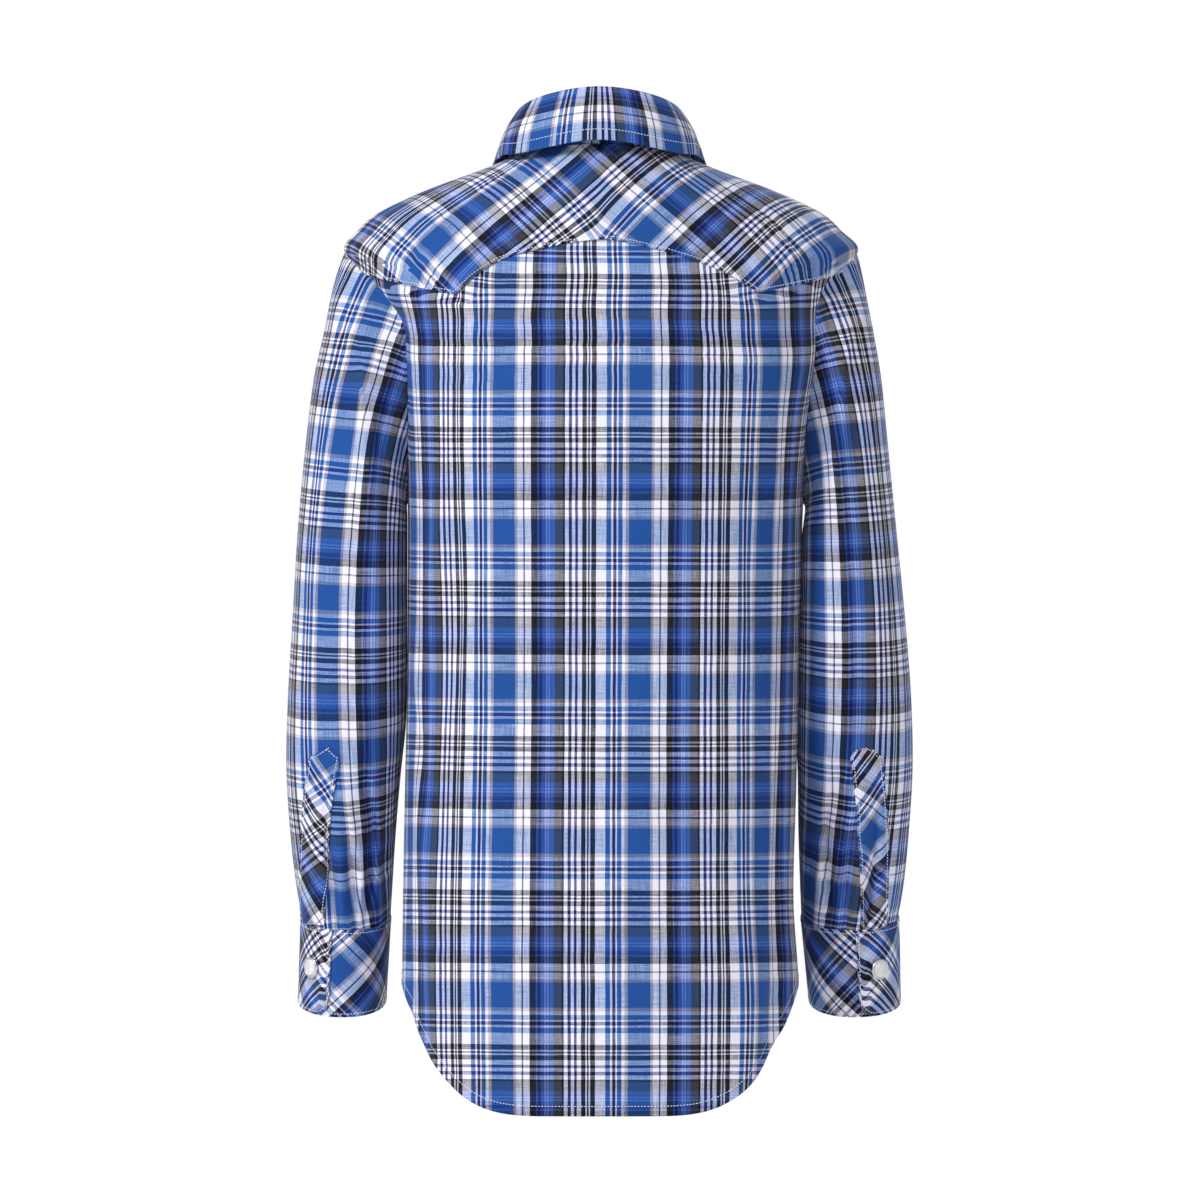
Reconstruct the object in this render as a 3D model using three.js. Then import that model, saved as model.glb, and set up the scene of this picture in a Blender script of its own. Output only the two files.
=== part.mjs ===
// A long-sleeved western snap shirt, worn and filled out, with nothing inside it.
// Millimetres. Z is up, Y points to the front of the shirt and X to the wearer's right.
// The origin is the middle of the neck, level with the collar seam at the back.
import * as THREE from "three";

// Driving dimensions
const WALL = 1.4; // thickness of one layer of cloth
const SEAM = 0.3; // gap between two pieces that are sewn together
const APPLIED = 0.4; // gap under a piece that lies on a panel
const STRIP_LIFT = 1.5; // the same gap under a narrow strip on a round sleeve
const HEM_LOW = -601; // lowest point of the back tail
const HEM_FRONT_LOW = -592; // lowest point of the front tails
const HEM_SIDE = -521; // height of the hem at the side seams
const HEM_REACH = 150; // distance round the hem over which it rises to the side seam
const HEM_CURVE = 3.2; // how late that rise comes
const HEM_TOP = -503; // height above which the rows of points are level
const RING_GIRTH = 0.94; // girth of a body ring, as a share of pi times its half width and depth
const ARMPIT = -220; // height of the underarm point
const SHOULDER_TIP = -64; // height of the outer end of the shoulder seam
const NECK = -9; // height of the side of the neckline
const SEAM_FORWARD = 6; // how far the shoulder seam lies in front of the ridge
const PLACKET_HALF = 14; // half the width of the front placket
const SNAP_RADIUS = 6.2;
const SNAP_HEIGHT = 3.4;
const FRONT_SNAPS = 7;
const SNAP_TOP = -68; // height of the side that the second snap from the top is spaced from
const SNAP_LOW = -540; // and that of the lowest snap
const COLLAR_SNAP_RISE = 26; // how much higher the collar's snap sits
const CUFF_HEIGHT = 50;
const CUFF_TOP = -481;
const CUFF_OVERLAP = 0.12; // share of a turn by which the cuff laps over itself
const CUFF_CORNER = 11; // radius of the cuff's rounded corners
const CUFF_LAP_LIFT = 0.9; // gap between the cuff's two ends where they lap
const CUFF_END = { right: 0.236, left: 0.205 }; // each cuff's outer end, in turns, on the back
const CUFF_SNAP_BACK = 0.07; // how many turns before that end its snap sits
const CUFF_LAP_FROM = 0.78; // turns along the cuff at which it starts to rise over its other end
const CUFF_LAP_TO = 0.99; // and at which it lies on it
const CUFF_GIRTH = 210; // length of one turn of the cuff
const CUFF_SNAP_SHARE = 0.45; // place of the snap down the cuff
const SNAP_CLEAR = 0.4; // gap under a snap's cap

// Rings of the body, from the hem to the neckline.
// side, back, front: the height where the ring passes the side, the back and the front.
// half: half its width. shift: its middle along X. deepBack, deepFront: its depth.
// square: exponent of its outline, 2 for an ellipse and more for squarer.
const BODY = [
  { side: -612, back: -612, front: -612, half: 122.5, shift: 0, deepBack: 99, deepFront: 97, square: 2.5 },
  { side: -523, back: -523, front: -523, half: 123.4, shift: 0.5, deepBack: 101, deepFront: 99, square: 2.5 },
  { side: -468, back: -468, front: -468, half: 121.6, shift: -0.8, deepBack: 100, deepFront: 99, square: 2.5 },
  { side: -406, back: -406, front: -406, half: 121.8, shift: 0.5, deepBack: 98, deepFront: 98, square: 2.5 },
  { side: -344, back: -344, front: -344, half: 122, shift: 2, deepBack: 97, deepFront: 97, square: 2.5 },
  { side: -280, back: -280, front: -280, half: 122.5, shift: 3, deepBack: 100, deepFront: 98, square: 2.5 },
  { side: -220, back: -220, front: -220, half: 123.2, shift: 3.7, deepBack: 104, deepFront: 97, square: 2.5 },
  { side: -170, back: -176, front: -182, half: 126.6, shift: 5, deepBack: 105, deepFront: 92, square: 2.5 },
  { side: -130, back: -142, front: -150, half: 133, shift: 7, deepBack: 105, deepFront: 88, square: 2.4 },
  { side: -108, back: -124, front: -134, half: 136.5, shift: 6, deepBack: 103, deepFront: 84, square: 2.3 },
  { side: -88, back: -106, front: -120, half: 145, shift: 1.5, deepBack: 100, deepFront: 80, square: 2.2 },
  { side: -64, back: -80, front: -104, half: 159, shift: 1, deepBack: 94, deepFront: 74, square: 2.1 },
  { side: -53, back: -66, front: -97, half: 150, shift: 0, deepBack: 89, deepFront: 70, square: 2.1 },
  { side: -43, back: -54, front: -90, half: 139, shift: 0, deepBack: 84, deepFront: 67, square: 2.1 },
  { side: -34, back: -42, front: -84, half: 121.5, shift: 0, deepBack: 78, deepFront: 63, square: 2.1 },
  { side: -25, back: -28, front: -77, half: 100, shift: 0, deepBack: 70, deepFront: 60, square: 2.1 },
  { side: -16, back: -13, front: -69, half: 75, shift: 0, deepBack: 61, deepFront: 57, square: 2.1 },
  { side: -9, back: 0, front: -62, half: 58, shift: 0, deepBack: 52, deepFront: 55, square: 2.05 },
];

// Depth of the armhole's edge behind and in front of the side line, at each height.
const ARMHOLE = [
  { side: -220, back: 0, front: 0 },
  { side: -208, back: 13, front: 15 },
  { side: -190, back: 23, front: 26 },
  { side: -160, back: 33, front: 36 },
  { side: -130, back: 40, front: 41 },
  { side: -105, back: 42, front: 41 },
  { side: -88, back: 37, front: 34 },
  { side: -74, back: 24, front: 20 },
  { side: -64, back: -6, front: 6 },
];

// Lower edge of the back yoke as seen from behind, from the wearer's right to the left.
const YOKE_EDGE = [
  { across: 137.5, height: -79 },
  { across: 97.7, height: -92 },
  { across: 61.7, height: -73.5 },
  { across: 23.3, height: -62.6 },
  { across: 0.3, height: -59.5 },
  { across: -41.2, height: -66.3 },
  { across: -64.2, height: -73.8 },
  { across: -88.4, height: -93 },
  { across: -141, height: -79 },
];
const CORNER_LEVEL = -77; // height at which the yoke's edge meets the armholes
const YOKE_BACK_SPANS = [6, 4, 4, 3, 4, 3, 4, 6]; // grid columns between those points
const YOKE_ROWS = [0, 0.06, 0.11, 0.15, 0.191, 0.3, 0.45, 0.6, 0.8, 1]; // closer where the armhole turns
const PANEL_ROWS = [0.2, 0.38, 0.54, 0.68, 0.79, 0.87, 0.94, 1]; // of the back, from underarm to yoke

// Lower edge of each front yoke: share of the way from the armhole to the placket, height.
const YOKE_FRONT_EDGE = [
  { share: 0, level: -112 },
  { share: 0.5, level: -150 },
  { share: 1, level: -98 },
];

// Rings of the sleeves below the armhole. zOut, zIn: height of the outer and inner point.
// outL, outR, inL, inR: how far those lie from the middle, left and right.
// mid, deep: middle and depth along Y. tilt: rise of the ring towards the front.
const SLEEVE = [
  { step: 1, zOut: -76, zIn: -221.5, outL: 163.5, outR: 163.5, inL: 121, inR: 128, mid: 0, deep: 93, tilt: 0 },
  { step: 2, zOut: -92, zIn: -226, outL: 167, outR: 166, inL: 121, inR: 128, mid: 0, deep: 95, tilt: 0 },
  { step: 3, zOut: -115, zIn: -234, outL: 171.5, outR: 170.5, inL: 121, inR: 127, mid: 0, deep: 96, tilt: 0.02 },
  { step: 4, zOut: -145, zIn: -248, outL: 178, outR: 175.5, inL: 121, inR: 126, mid: 0, deep: 97, tilt: 0.04 },
  { step: 5, zOut: -190, zIn: -268, outL: 183.5, outR: 180, inL: 121, inR: 125.5, mid: 0, deep: 98, tilt: 0.05 },
  { step: 6, zOut: -240, zIn: -296, outL: 188, outR: 185, inL: 121, inR: 125, mid: 0, deep: 97, tilt: 0.07 },
  { step: 7, zOut: -290, zIn: -326, outL: 191, outR: 190, inL: 121, inR: 124.5, mid: 3, deep: 96, tilt: 0.1 },
  { step: 8, zOut: -340, zIn: -360, outL: 194, outR: 194, inL: 121.5, inR: 124, mid: 8, deep: 94, tilt: 0.13 },
  { step: 9, zOut: -385, zIn: -392, outL: 195.2, outR: 195.2, inL: 124, inR: 123.5, mid: 14, deep: 90, tilt: 0.16 },
  { step: 10, zOut: -425, zIn: -427, outL: 193, outR: 193, inL: 127, inR: 124, mid: 21, deep: 85, tilt: 0.2 },
  { step: 11, zOut: -457, zIn: -457, outL: 189.5, outR: 190, inL: 129, inR: 125, mid: 26, deep: 81, tilt: 0.2 },
  { step: 12, zOut: -481, zIn: -481, outL: 185.2, outR: 186, inL: 130.5, inR: 126, mid: 30, deep: 78, tilt: 0.2 },
];
const SLEEVE_SQUARE = 2.2;
const CAP_FADE = 2.2; // rings over which the armhole's own outline fades out
const ARMHOLE_EASE = 0.12; // evens out the points round the armhole
const SLEEVE_SEAM = 1.1; // gap between the sleeve's end and the edge of the armhole
const SLEEVE_TOP_SEAM = 1; // what is added to it along X at the top, where the seam turns sharply
const UNDERARM_REACH = 0.16; // share of a turn either side over which the underarm seam turns in
const BESIDE = 0.9; // clearance between a sleeve and the side of the body
const CUFF = { outL: 187, outR: 187, inL: 133.5, inR: 131, mid: 38, deep: 78, tilt: 0.27 }; // its lower edge

// Largest folds of the sleeves. turn: place round the sleeve, 0 outside, 0.25 back.
// step: place along it. wide, long: reach in turns and steps. lean: turns per step. out: height.
const SLEEVE_FOLDS = [
  { turn: 0.19, step: 3, wide: 0.035, long: 2.2, lean: 0.012, out: -4 },
  { turn: 0.27, step: 3.2, wide: 0.035, long: 2.4, lean: 0.014, out: 3 },
  { turn: 0.36, step: 4, wide: 0.03, long: 2, lean: 0.01, out: -3.5 },
  { turn: 0.7, step: 3.5, wide: 0.04, long: 2.2, lean: -0.012, out: -3.5 },
  { turn: 0.3, step: 11, wide: 0.025, long: 1, lean: 0, out: -2.4 },
  { turn: 0.38, step: 11.2, wide: 0.025, long: 1.1, lean: 0, out: 2.2 },
  { turn: 0.62, step: 11, wide: 0.03, long: 1, lean: 0, out: -2.4 },
];

// Largest folds of the body. turn: place round it, 0 at the wearer's right, 0.25 back, 0.5 left.
// level: height. wide: reach in turns. long: reach in millimetres. lean: turns per millimetre.
const BODY_FOLDS = [
  { turn: 0.415, level: -440, wide: 0.018, long: 46, lean: 0.00025, out: 2.6 },
  { turn: 0.37, level: -285, wide: 0.02, long: 60, lean: -0.0002, out: -2.4 },
  { turn: 0.085, level: -530, wide: 0.016, long: 60, lean: -0.0002, out: -3 },
  { turn: 0.13, level: -545, wide: 0.018, long: 52, lean: -0.0001, out: 2.4 },
  { turn: 0.87, level: -500, wide: 0.02, long: 70, lean: 0.0002, out: -3 },
  { turn: 0.64, level: -520, wide: 0.02, long: 60, lean: -0.0002, out: 2.6 },
];

// Collar. part: place round the neck, 0 at the back and 1 at the front.
// foldX, foldY, foldZ: the fold along its top.
// level, lift: where the leaf's lower edge lies over the body, and how far above it.
const COLLAR = [
  { part: -0.25, foldX: -39, foldY: -32, foldZ: 29, level: -14.2, lift: 8.5 },
  { part: 0, foldX: 0, foldY: -47, foldZ: 36.5, level: -11.5, lift: 13.5 },
  { part: 0.25, foldX: 39, foldY: -32, foldZ: 29, level: -14.2, lift: 8.5 },
  { part: 0.5, foldX: 52, foldY: 2, foldZ: 13, level: -10.6, lift: 3.7 },
  { part: 0.75, foldX: 39, foldY: 36, foldZ: -14, level: -19.5, lift: 5 },
  { part: 0.9, foldX: 17, foldY: 50, foldZ: -32, level: -36, lift: 5 },
  { part: 1, foldX: 2, foldY: 53, foldZ: -37, level: -50, lift: 5 },
];
const COLLAR_FRONT_TURN = 0.035; // how far the leaf's points stand from the middle, in turns
const LEAF_BULGE = 3; // how far the leaf swells between its fold and its edge
const LEAF_CLEAR = 1.6; // gap between the leaf and the stand at the fold

// Small helpers on tables and points

// One row of a table, smoothly interpolated between its rows, at a value of its key column.
function rowAt(table, key, value) {
  const last = table.length - 1;
  let k = 0;
  while (k < last - 1 && value > table[k + 1][key]) k += 1;
  const span = table[k + 1][key] - table[k][key];
  const u = THREE.MathUtils.clamp((value - table[k][key]) / span, 0, 1);
  const slope = (i, column) => {
    const a = Math.max(i - 1, 0);
    const b = Math.min(i + 1, last);
    return (table[b][column] - table[a][column]) / (table[b][key] - table[a][key]);
  };
  const row = {};
  for (const column of Object.keys(table[0])) {
    const p = table[k][column];
    const q = table[k + 1][column];
    const m = slope(k, column) * span;
    const n = slope(k + 1, column) * span;
    const h = (2 * u ** 3 - 3 * u ** 2 + 1) * p + (u ** 3 - 2 * u ** 2 + u) * m;
    row[column] = h + (3 * u ** 2 - 2 * u ** 3) * q + (u ** 3 - u ** 2) * n;
  }
  return row;
}

// Straight interpolation between the rows of a table, for an outline with corners.
function cornerAt(table, key, column, value) {
  const last = table.length - 1;
  const rising = table[last][key] > table[0][key];
  let k = 0;
  while (k < last - 1 && (rising ? value > table[k + 1][key] : value < table[k + 1][key])) k += 1;
  const u = (value - table[k][key]) / (table[k + 1][key] - table[k][key]);
  return THREE.MathUtils.lerp(table[k][column], table[k + 1][column], u);
}

const lerp = THREE.MathUtils.lerp;
const power = (v, e) => Math.sign(v) * Math.abs(v) ** e;
const bell = (d) => Math.exp(-d * d);

function foldSum(folds, along, turn, place) {
  let sum = 0;
  for (const f of folds) {
    const d = place - f[along];
    let t = turn - f.turn - f.lean * d;
    t -= Math.round(t);
    sum += f.out * bell(t / f.wide) * bell(d / f.long);
  }
  return sum;
}

// Form of the body

// Point of the body's outer face, at a place round it (in turns) and a height of its side.
function bodyPoint(turn, level) {
  const r = rowAt(BODY, "side", level);
  const c = power(Math.cos(2 * Math.PI * turn), 2 / r.square);
  const s = power(Math.sin(2 * Math.PI * turn), 2 / r.square);
  const deep = s > 0 ? r.deepBack : r.deepFront;
  const end = s > 0 ? r.back : r.front;
  const out = foldSum(BODY_FOLDS, "level", turn, level);
  const x = r.shift + (r.half + out) * c;
  const y = -(deep + out) * s;
  return new THREE.Vector3(x, y, level + (end - level) * s * s);
}

// The outward direction of the body's surface at a place.
function bodyNormal(turn, level) {
  const a = bodyPoint(turn + 0.004, level).sub(bodyPoint(turn - 0.004, level));
  const b = bodyPoint(turn, level + 1).sub(bodyPoint(turn, level - 1));
  return b.cross(a).normalize();
}

// Place round the body, in turns from the side line, of a depth at a height.
function turnOfDepth(level, depth) {
  const r = rowAt(BODY, "side", level);
  return Math.asin(power(depth / r.deepBack, r.square / 2)) / (2 * Math.PI);
}

function frontTurnOfDepth(level, depth) {
  const r = rowAt(BODY, "side", level);
  return Math.asin(power(depth / r.deepFront, r.square / 2)) / (2 * Math.PI);
}

// Turn at which a back piece ends on the wearer's right, at a height of the side.
function backEdge(level) {
  if (level <= ARMPIT) return 0;
  if (level >= SHOULDER_TIP) return -frontTurnOfDepth(level, SEAM_FORWARD);
  const depth = rowAt(ARMHOLE, "side", level).back;
  return depth >= 0 ? turnOfDepth(level, depth) : -frontTurnOfDepth(level, -depth);
}

// Turn before the side line at which a front piece ends, at a height of the side.
function frontEdge(level) {
  if (level <= ARMPIT) return 0;
  if (level >= SHOULDER_TIP) return frontTurnOfDepth(level, SEAM_FORWARD);
  return frontTurnOfDepth(level, rowAt(ARMHOLE, "side", level).front);
}

// Rise of the hem at a place round it: highest at the side seams.
function hemLevel(turn, low) {
  const r = rowAt(BODY, "side", HEM_SIDE);
  const girth = RING_GIRTH * Math.PI * (r.half + r.deepBack);
  const fromSide = Math.abs(turn - Math.round(turn * 2) / 2) * girth;
  const share = Math.min(fromSide / HEM_REACH, 1);
  const rise = Math.cos((share * Math.PI) / 2) ** HEM_CURVE;
  return low + (HEM_SIDE - low) * rise;
}

// The place (turn, level) on a surface that is seen from behind at x and z, from a first guess.
// Each round steps along the surface's own slopes, by no more than the two reaches.
const SEARCH_ROUNDS = 40;
const TURN_REACH = 0.03;
const LEVEL_REACH = 20;

function seenFromBehind(surface, x, z, turn, level, lowest, highest) {
  const small = 1e-3;
  let t = turn;
  let l = level;
  for (let i = 0; i < SEARCH_ROUNDS; i += 1) {
    const p = surface(t, l);
    const a = surface(t + small, l).sub(p).divideScalar(small);
    const b = surface(t, l + small).sub(p).divideScalar(small);
    const det = a.x * b.z - b.x * a.z;
    const dx = x - p.x;
    const dz = z - p.z;
    t += THREE.MathUtils.clamp((dx * b.z - b.x * dz) / det, -TURN_REACH, TURN_REACH);
    l += THREE.MathUtils.clamp((a.x * dz - dx * a.z) / det, -LEVEL_REACH, LEVEL_REACH);
    l = THREE.MathUtils.clamp(l, lowest, highest);
  }
  return { turn: t, level: l };
}

// Form of the sleeves. side is 1 for the wearer's right and -1 for the left.

// A point round a sleeve's ring, from its outer and inner point, middle, depth and tilt.
function ringPoint(out, inn, mid, deep, tilt, turn) {
  const c = power(Math.cos(2 * Math.PI * turn), 2 / SLEEVE_SQUARE);
  const s = power(Math.sin(2 * Math.PI * turn), 2 / SLEEVE_SQUARE);
  const centre = out.clone().add(inn).multiplyScalar(0.5);
  const arm = out.clone().sub(inn).multiplyScalar(0.5 * c);
  const y = (-deep / 2) * s;
  return centre.add(arm).add(new THREE.Vector3(0, mid + y - centre.y, tilt * y));
}

// Place on the body of a place on the armhole: 0 shoulder, 0.25 back, 0.5 underarm, 0.75 front.
function armholePlace(side, turn) {
  const behind = turn <= 0.5;
  const share = behind ? turn * 2 : (1 - turn) * 2;
  const ease = Math.cos(Math.PI * lerp(ARMHOLE_EASE, 1 - ARMHOLE_EASE, share));
  const down = 0.5 - (0.5 * ease) / Math.cos(Math.PI * ARMHOLE_EASE);
  const level = lerp(SHOULDER_TIP, ARMPIT, down);
  const edge = behind ? backEdge(level) : -frontEdge(level);
  return { turn: side > 0 ? edge : 0.5 - edge, level };
}

// Point of the armhole seam on the sleeve, half a gap or more inside the body's opening.
function armholePoint(side, turn) {
  const place = armholePlace(side, turn);
  const p = bodyPoint(place.turn, place.level);
  const near = (t) => bodyPoint(armholePlace(side, t).turn, armholePlace(side, t).level);
  const along = near(Math.min(turn + 0.004, 0.9999)).sub(near(Math.max(turn - 0.004, 0.0001)));
  const inwards = along.cross(bodyNormal(place.turn, place.level)).normalize();
  const top = 0.5 + 0.5 * Math.cos(2 * Math.PI * turn);
  p.x += side * SLEEVE_TOP_SEAM * top;
  return p.addScaledVector(inwards, -side * SLEEVE_SEAM);
}

// Point of a sleeve's outer face at a place round it and a step along it, 0 at the armhole.
function sleevePoint(side, turn, step) {
  const wrapped = turn - Math.floor(turn);
  const r = rowAt(SLEEVE, "step", Math.max(step, 1));
  const out = new THREE.Vector3(side * (side > 0 ? r.outR : r.outL), r.mid, r.zOut);
  const inn = new THREE.Vector3(side * (side > 0 ? r.inR : r.inL), r.mid, r.zIn);
  const fold = foldSum(SLEEVE_FOLDS, "step", wrapped, step) * (side > 0 ? 0.9 : 1);
  const p = ringPoint(out, inn, r.mid, r.deep + 2 * fold, r.tilt, wrapped);
  if (step >= CAP_FADE) return besideBody(p, side);
  const fade = THREE.MathUtils.smootherstep(step / CAP_FADE, 0, 1);
  return besideBody(armholePoint(side, wrapped).lerp(p, fade), side);
}

// Moves a sleeve's point outwards where it would reach into the side of the body.
function besideBody(p, side) {
  let r = rowAt(BODY, "side", p.z);
  let share = 0;
  for (let i = 0; i < 3; i += 1) {
    const behind = p.y < 0;
    share = Math.min(Math.abs(p.y) / (behind ? r.deepBack : r.deepFront), 1);
    const drop = (r.side - (behind ? r.back : r.front)) * share * share;
    r = rowAt(BODY, "side", Math.min(p.z + drop, SHOULDER_TIP));
  }
  const wide = r.half * (1 - share ** r.square) ** (1 / r.square);
  const edge = r.shift + side * (wide + BESIDE);
  if (side * (p.x - edge) < 0) p.x = edge;
  return p;
}

// Solids from grids of points

// A wall over a grid of points. low and high are the distances of its two faces from the
// points, along the outward side. A round grid closes on itself in each row.
// first, where given, holds the outward directions of the first row.
function wall(points, low, high, round, flip, first) {
  const rows = points.length;
  const cols = points[0].length;
  const wrap = (j) => (round ? (j + cols) % cols : THREE.MathUtils.clamp(j, 0, cols - 1));
  const rowOf = (i) => THREE.MathUtils.clamp(i, 0, rows - 1);
  const position = [];
  for (const offset of [high, low]) {
    for (let i = 0; i < rows; i += 1) {
      for (let j = 0; j < cols; j += 1) {
        const a = points[i][wrap(j + 1)].clone().sub(points[i][wrap(j - 1)]);
        const b = points[rowOf(i + 1)][j].clone().sub(points[rowOf(i - 1)][j]);
        const n = a.cross(b).normalize().multiplyScalar(flip ? -1 : 1);
        if (first && i === 0) n.copy(first[j](n));
        n.multiplyScalar(offset);
        position.push(...points[i][j].clone().add(n).toArray());
      }
    }
  }
  const high0 = (i, j) => i * cols + wrap(j);
  const low0 = (i, j) => rows * cols + i * cols + wrap(j);
  const index = [];
  const quad = (a, b, c, d) => {
    if (flip) index.push(a, c, b, a, d, c);
    else index.push(a, b, c, a, c, d);
  };
  const spans = round ? cols : cols - 1;
  for (let i = 0; i < rows - 1; i += 1) {
    for (let j = 0; j < spans; j += 1) {
      quad(high0(i, j), high0(i, j + 1), high0(i + 1, j + 1), high0(i + 1, j));
      const turned = [low0(i, j), low0(i, j + 1), low0(i + 1, j + 1), low0(i + 1, j)];
      if (flip) index.push(turned[0], turned[1], turned[2], turned[0], turned[2], turned[3]);
      else index.push(turned[0], turned[2], turned[1], turned[0], turned[3], turned[2]);
    }
  }
  for (let j = 0; j < spans; j += 1) {
    quad(low0(0, j), low0(0, j + 1), high0(0, j + 1), high0(0, j));
    const top = rows - 1;
    quad(high0(top, j), high0(top, j + 1), low0(top, j + 1), low0(top, j));
  }
  if (!round) {
    for (let i = 0; i < rows - 1; i += 1) {
      quad(low0(i, 0), high0(i, 0), high0(i + 1, 0), low0(i + 1, 0));
      const end = cols - 1;
      quad(high0(i, end), low0(i, end), low0(i + 1, end), high0(i + 1, end));
    }
  }
  const geometry = new THREE.BufferGeometry();
  geometry.setAttribute("position", new THREE.Float32BufferAttribute(position, 3));
  geometry.setIndex(index);
  geometry.computeVertexNormals();
  return geometry;
}

// A grid of points, from a count of rows and columns and a function of two shares from 0 to 1.
function grid(rows, cols, pointAt) {
  const points = [];
  for (let i = 0; i <= rows; i += 1) {
    const row = [];
    for (let j = 0; j <= cols; j += 1) row.push(pointAt(i / rows, j / cols));
    points.push(row);
  }
  return points;
}

// Materials and the group
const group = new THREE.Group();
const cloth = new THREE.MeshStandardMaterial({ color: 0x5b76b4, roughness: 0.85, metalness: 0 });
const bias = new THREE.MeshStandardMaterial({ color: 0x4a66aa, roughness: 0.85, metalness: 0 });
const pearl = new THREE.MeshStandardMaterial({ color: 0xe9eaee, roughness: 0.3, metalness: 0 });

function add(name, geometry, material) {
  const mesh = new THREE.Mesh(geometry, material);
  mesh.name = name;
  group.add(mesh);
  return mesh;
}

// Turns of inset that leave half a seam's gap at a piece's edge.
const INSET = SEAM / 2 / 700;
const YOKE_INSET = 4 * INSET; // more at the yoke, which lies over the panel

// Back panel and back yoke

// Columns of the two pieces: places of the yoke's corners, evenly divided between them.
function yokeColumns() {
  const corners = YOKE_EDGE.map((e, k) => {
    const start = lerp(0.02, 0.48, k / (YOKE_EDGE.length - 1));
    return seenFromBehind(bodyPoint, e.across, e.height, start, e.height + 12, ARMPIT, NECK);
  });
  const right = corners[0];
  const left = corners[corners.length - 1];
  right.level = CORNER_LEVEL;
  left.level = CORNER_LEVEL;
  right.turn = backEdge(CORNER_LEVEL);
  left.turn = 0.5 - backEdge(CORNER_LEVEL);
  const columns = [];
  YOKE_BACK_SPANS.forEach((count, k) => {
    for (let m = 0; m < count; m += 1) {
      const u = m / count;
      columns.push({
        turn: lerp(corners[k].turn, corners[k + 1].turn, u),
        level: lerp(corners[k].level, corners[k + 1].level, u),
      });
    }
  });
  columns.push({ turn: left.turn, level: left.level });
  const span = left.turn - right.turn;
  return columns.map((c) => ({ share: (c.turn - right.turn) / span, level: c.level }));
}

const COLUMNS = yokeColumns();

// Point of the back, from a column, the height that the row has at the side and its own height.
function backPoint(column, sideLevel, level, inset) {
  const from = backEdge(sideLevel) + inset;
  const to = 0.5 - backEdge(sideLevel) - inset;
  return bodyPoint(lerp(from, to, column.share), level);
}

function yokeRow(v) {
  return COLUMNS.map((c) => {
    const sideLevel = lerp(CORNER_LEVEL, NECK, v);
    return backPoint(c, sideLevel, lerp(c.level, NECK, v), YOKE_INSET);
  });
}

const HEM_ROWS = [0, 0.5, 1]; // rows from the hem to the level rows
const LOWER_ROWS = 9; // level rows from there to the underarm

function backPanel() {
  const points = [];
  for (const v of HEM_ROWS) {
    points.push(COLUMNS.map((c) => {
      const turn = lerp(INSET, 0.5 - INSET, c.share);
      return bodyPoint(turn, lerp(hemLevel(turn, HEM_LOW), HEM_TOP, v));
    }));
  }
  for (let i = 1; i <= LOWER_ROWS; i += 1) {
    const level = lerp(HEM_TOP, ARMPIT, i / LOWER_ROWS);
    points.push(COLUMNS.map((c) => backPoint(c, level, level, INSET)));
  }
  for (const v of PANEL_ROWS) {
    const sideLevel = lerp(ARMPIT, CORNER_LEVEL, v);
    const inset = lerp(INSET, YOKE_INSET, v);
    points.push(COLUMNS.map((c) => backPoint(c, sideLevel, lerp(ARMPIT, c.level, v), inset)));
  }
  points.push(yokeRow(YOKE_ROWS[1]));
  return wall(points, -WALL, 0, false, true);
}

add("back_panel", backPanel(), cloth);
const yokeGrid = YOKE_ROWS.map(yokeRow);
add("back_yoke", wall(yokeGrid, APPLIED, APPLIED + WALL, false, true), bias);

// Front panels, front yokes and the placket

// Turn of a line at a distance across the front, at a height.
function frontTurn(level, across) {
  const r = rowAt(BODY, "side", level);
  const c = power((across - r.shift) / r.half, r.square / 2);
  return 1 - Math.acos(c) / (2 * Math.PI);
}

// Point of a front, share 0 at its side or armhole and 1 at the line across.
function frontPoint(side, share, sideLevel, level, across) {
  const edge = side > 0 ? 1 - frontEdge(sideLevel) - INSET : 0.5 + frontEdge(sideLevel) + INSET;
  return bodyPoint(lerp(edge, frontTurn(level, across), share), level);
}

const FRONT_COLS = 14;
const UNDER_COLLAR_COLS = 2; // columns of the right yoke that stop short of the placket
const CHEST_ROWS = 5; // rows of a front from the underarm to its yoke
const FRONT_YOKE_ROWS = [0, 0.13, 0.26, 0.37, 0.43, 0.467, 0.7, 1];
const FRONT_CORNER = YOKE_FRONT_EDGE[0].level;

// Where a front panel ends in the middle: the right one passes under the placket.
function frontMiddle(side) {
  return side > 0 ? SEAM / 2 - PLACKET_HALF : -SEAM / 2 - PLACKET_HALF;
}

function frontYokeRow(side, v, across) {
  const row = [];
  for (let j = 0; j <= FRONT_COLS; j += 1) {
    const share = j / FRONT_COLS;
    const low = cornerAt(YOKE_FRONT_EDGE, "share", "level", share);
    row.push(frontPoint(side, share, lerp(FRONT_CORNER, NECK, v), lerp(low, NECK, v), across));
  }
  return row;
}

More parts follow.
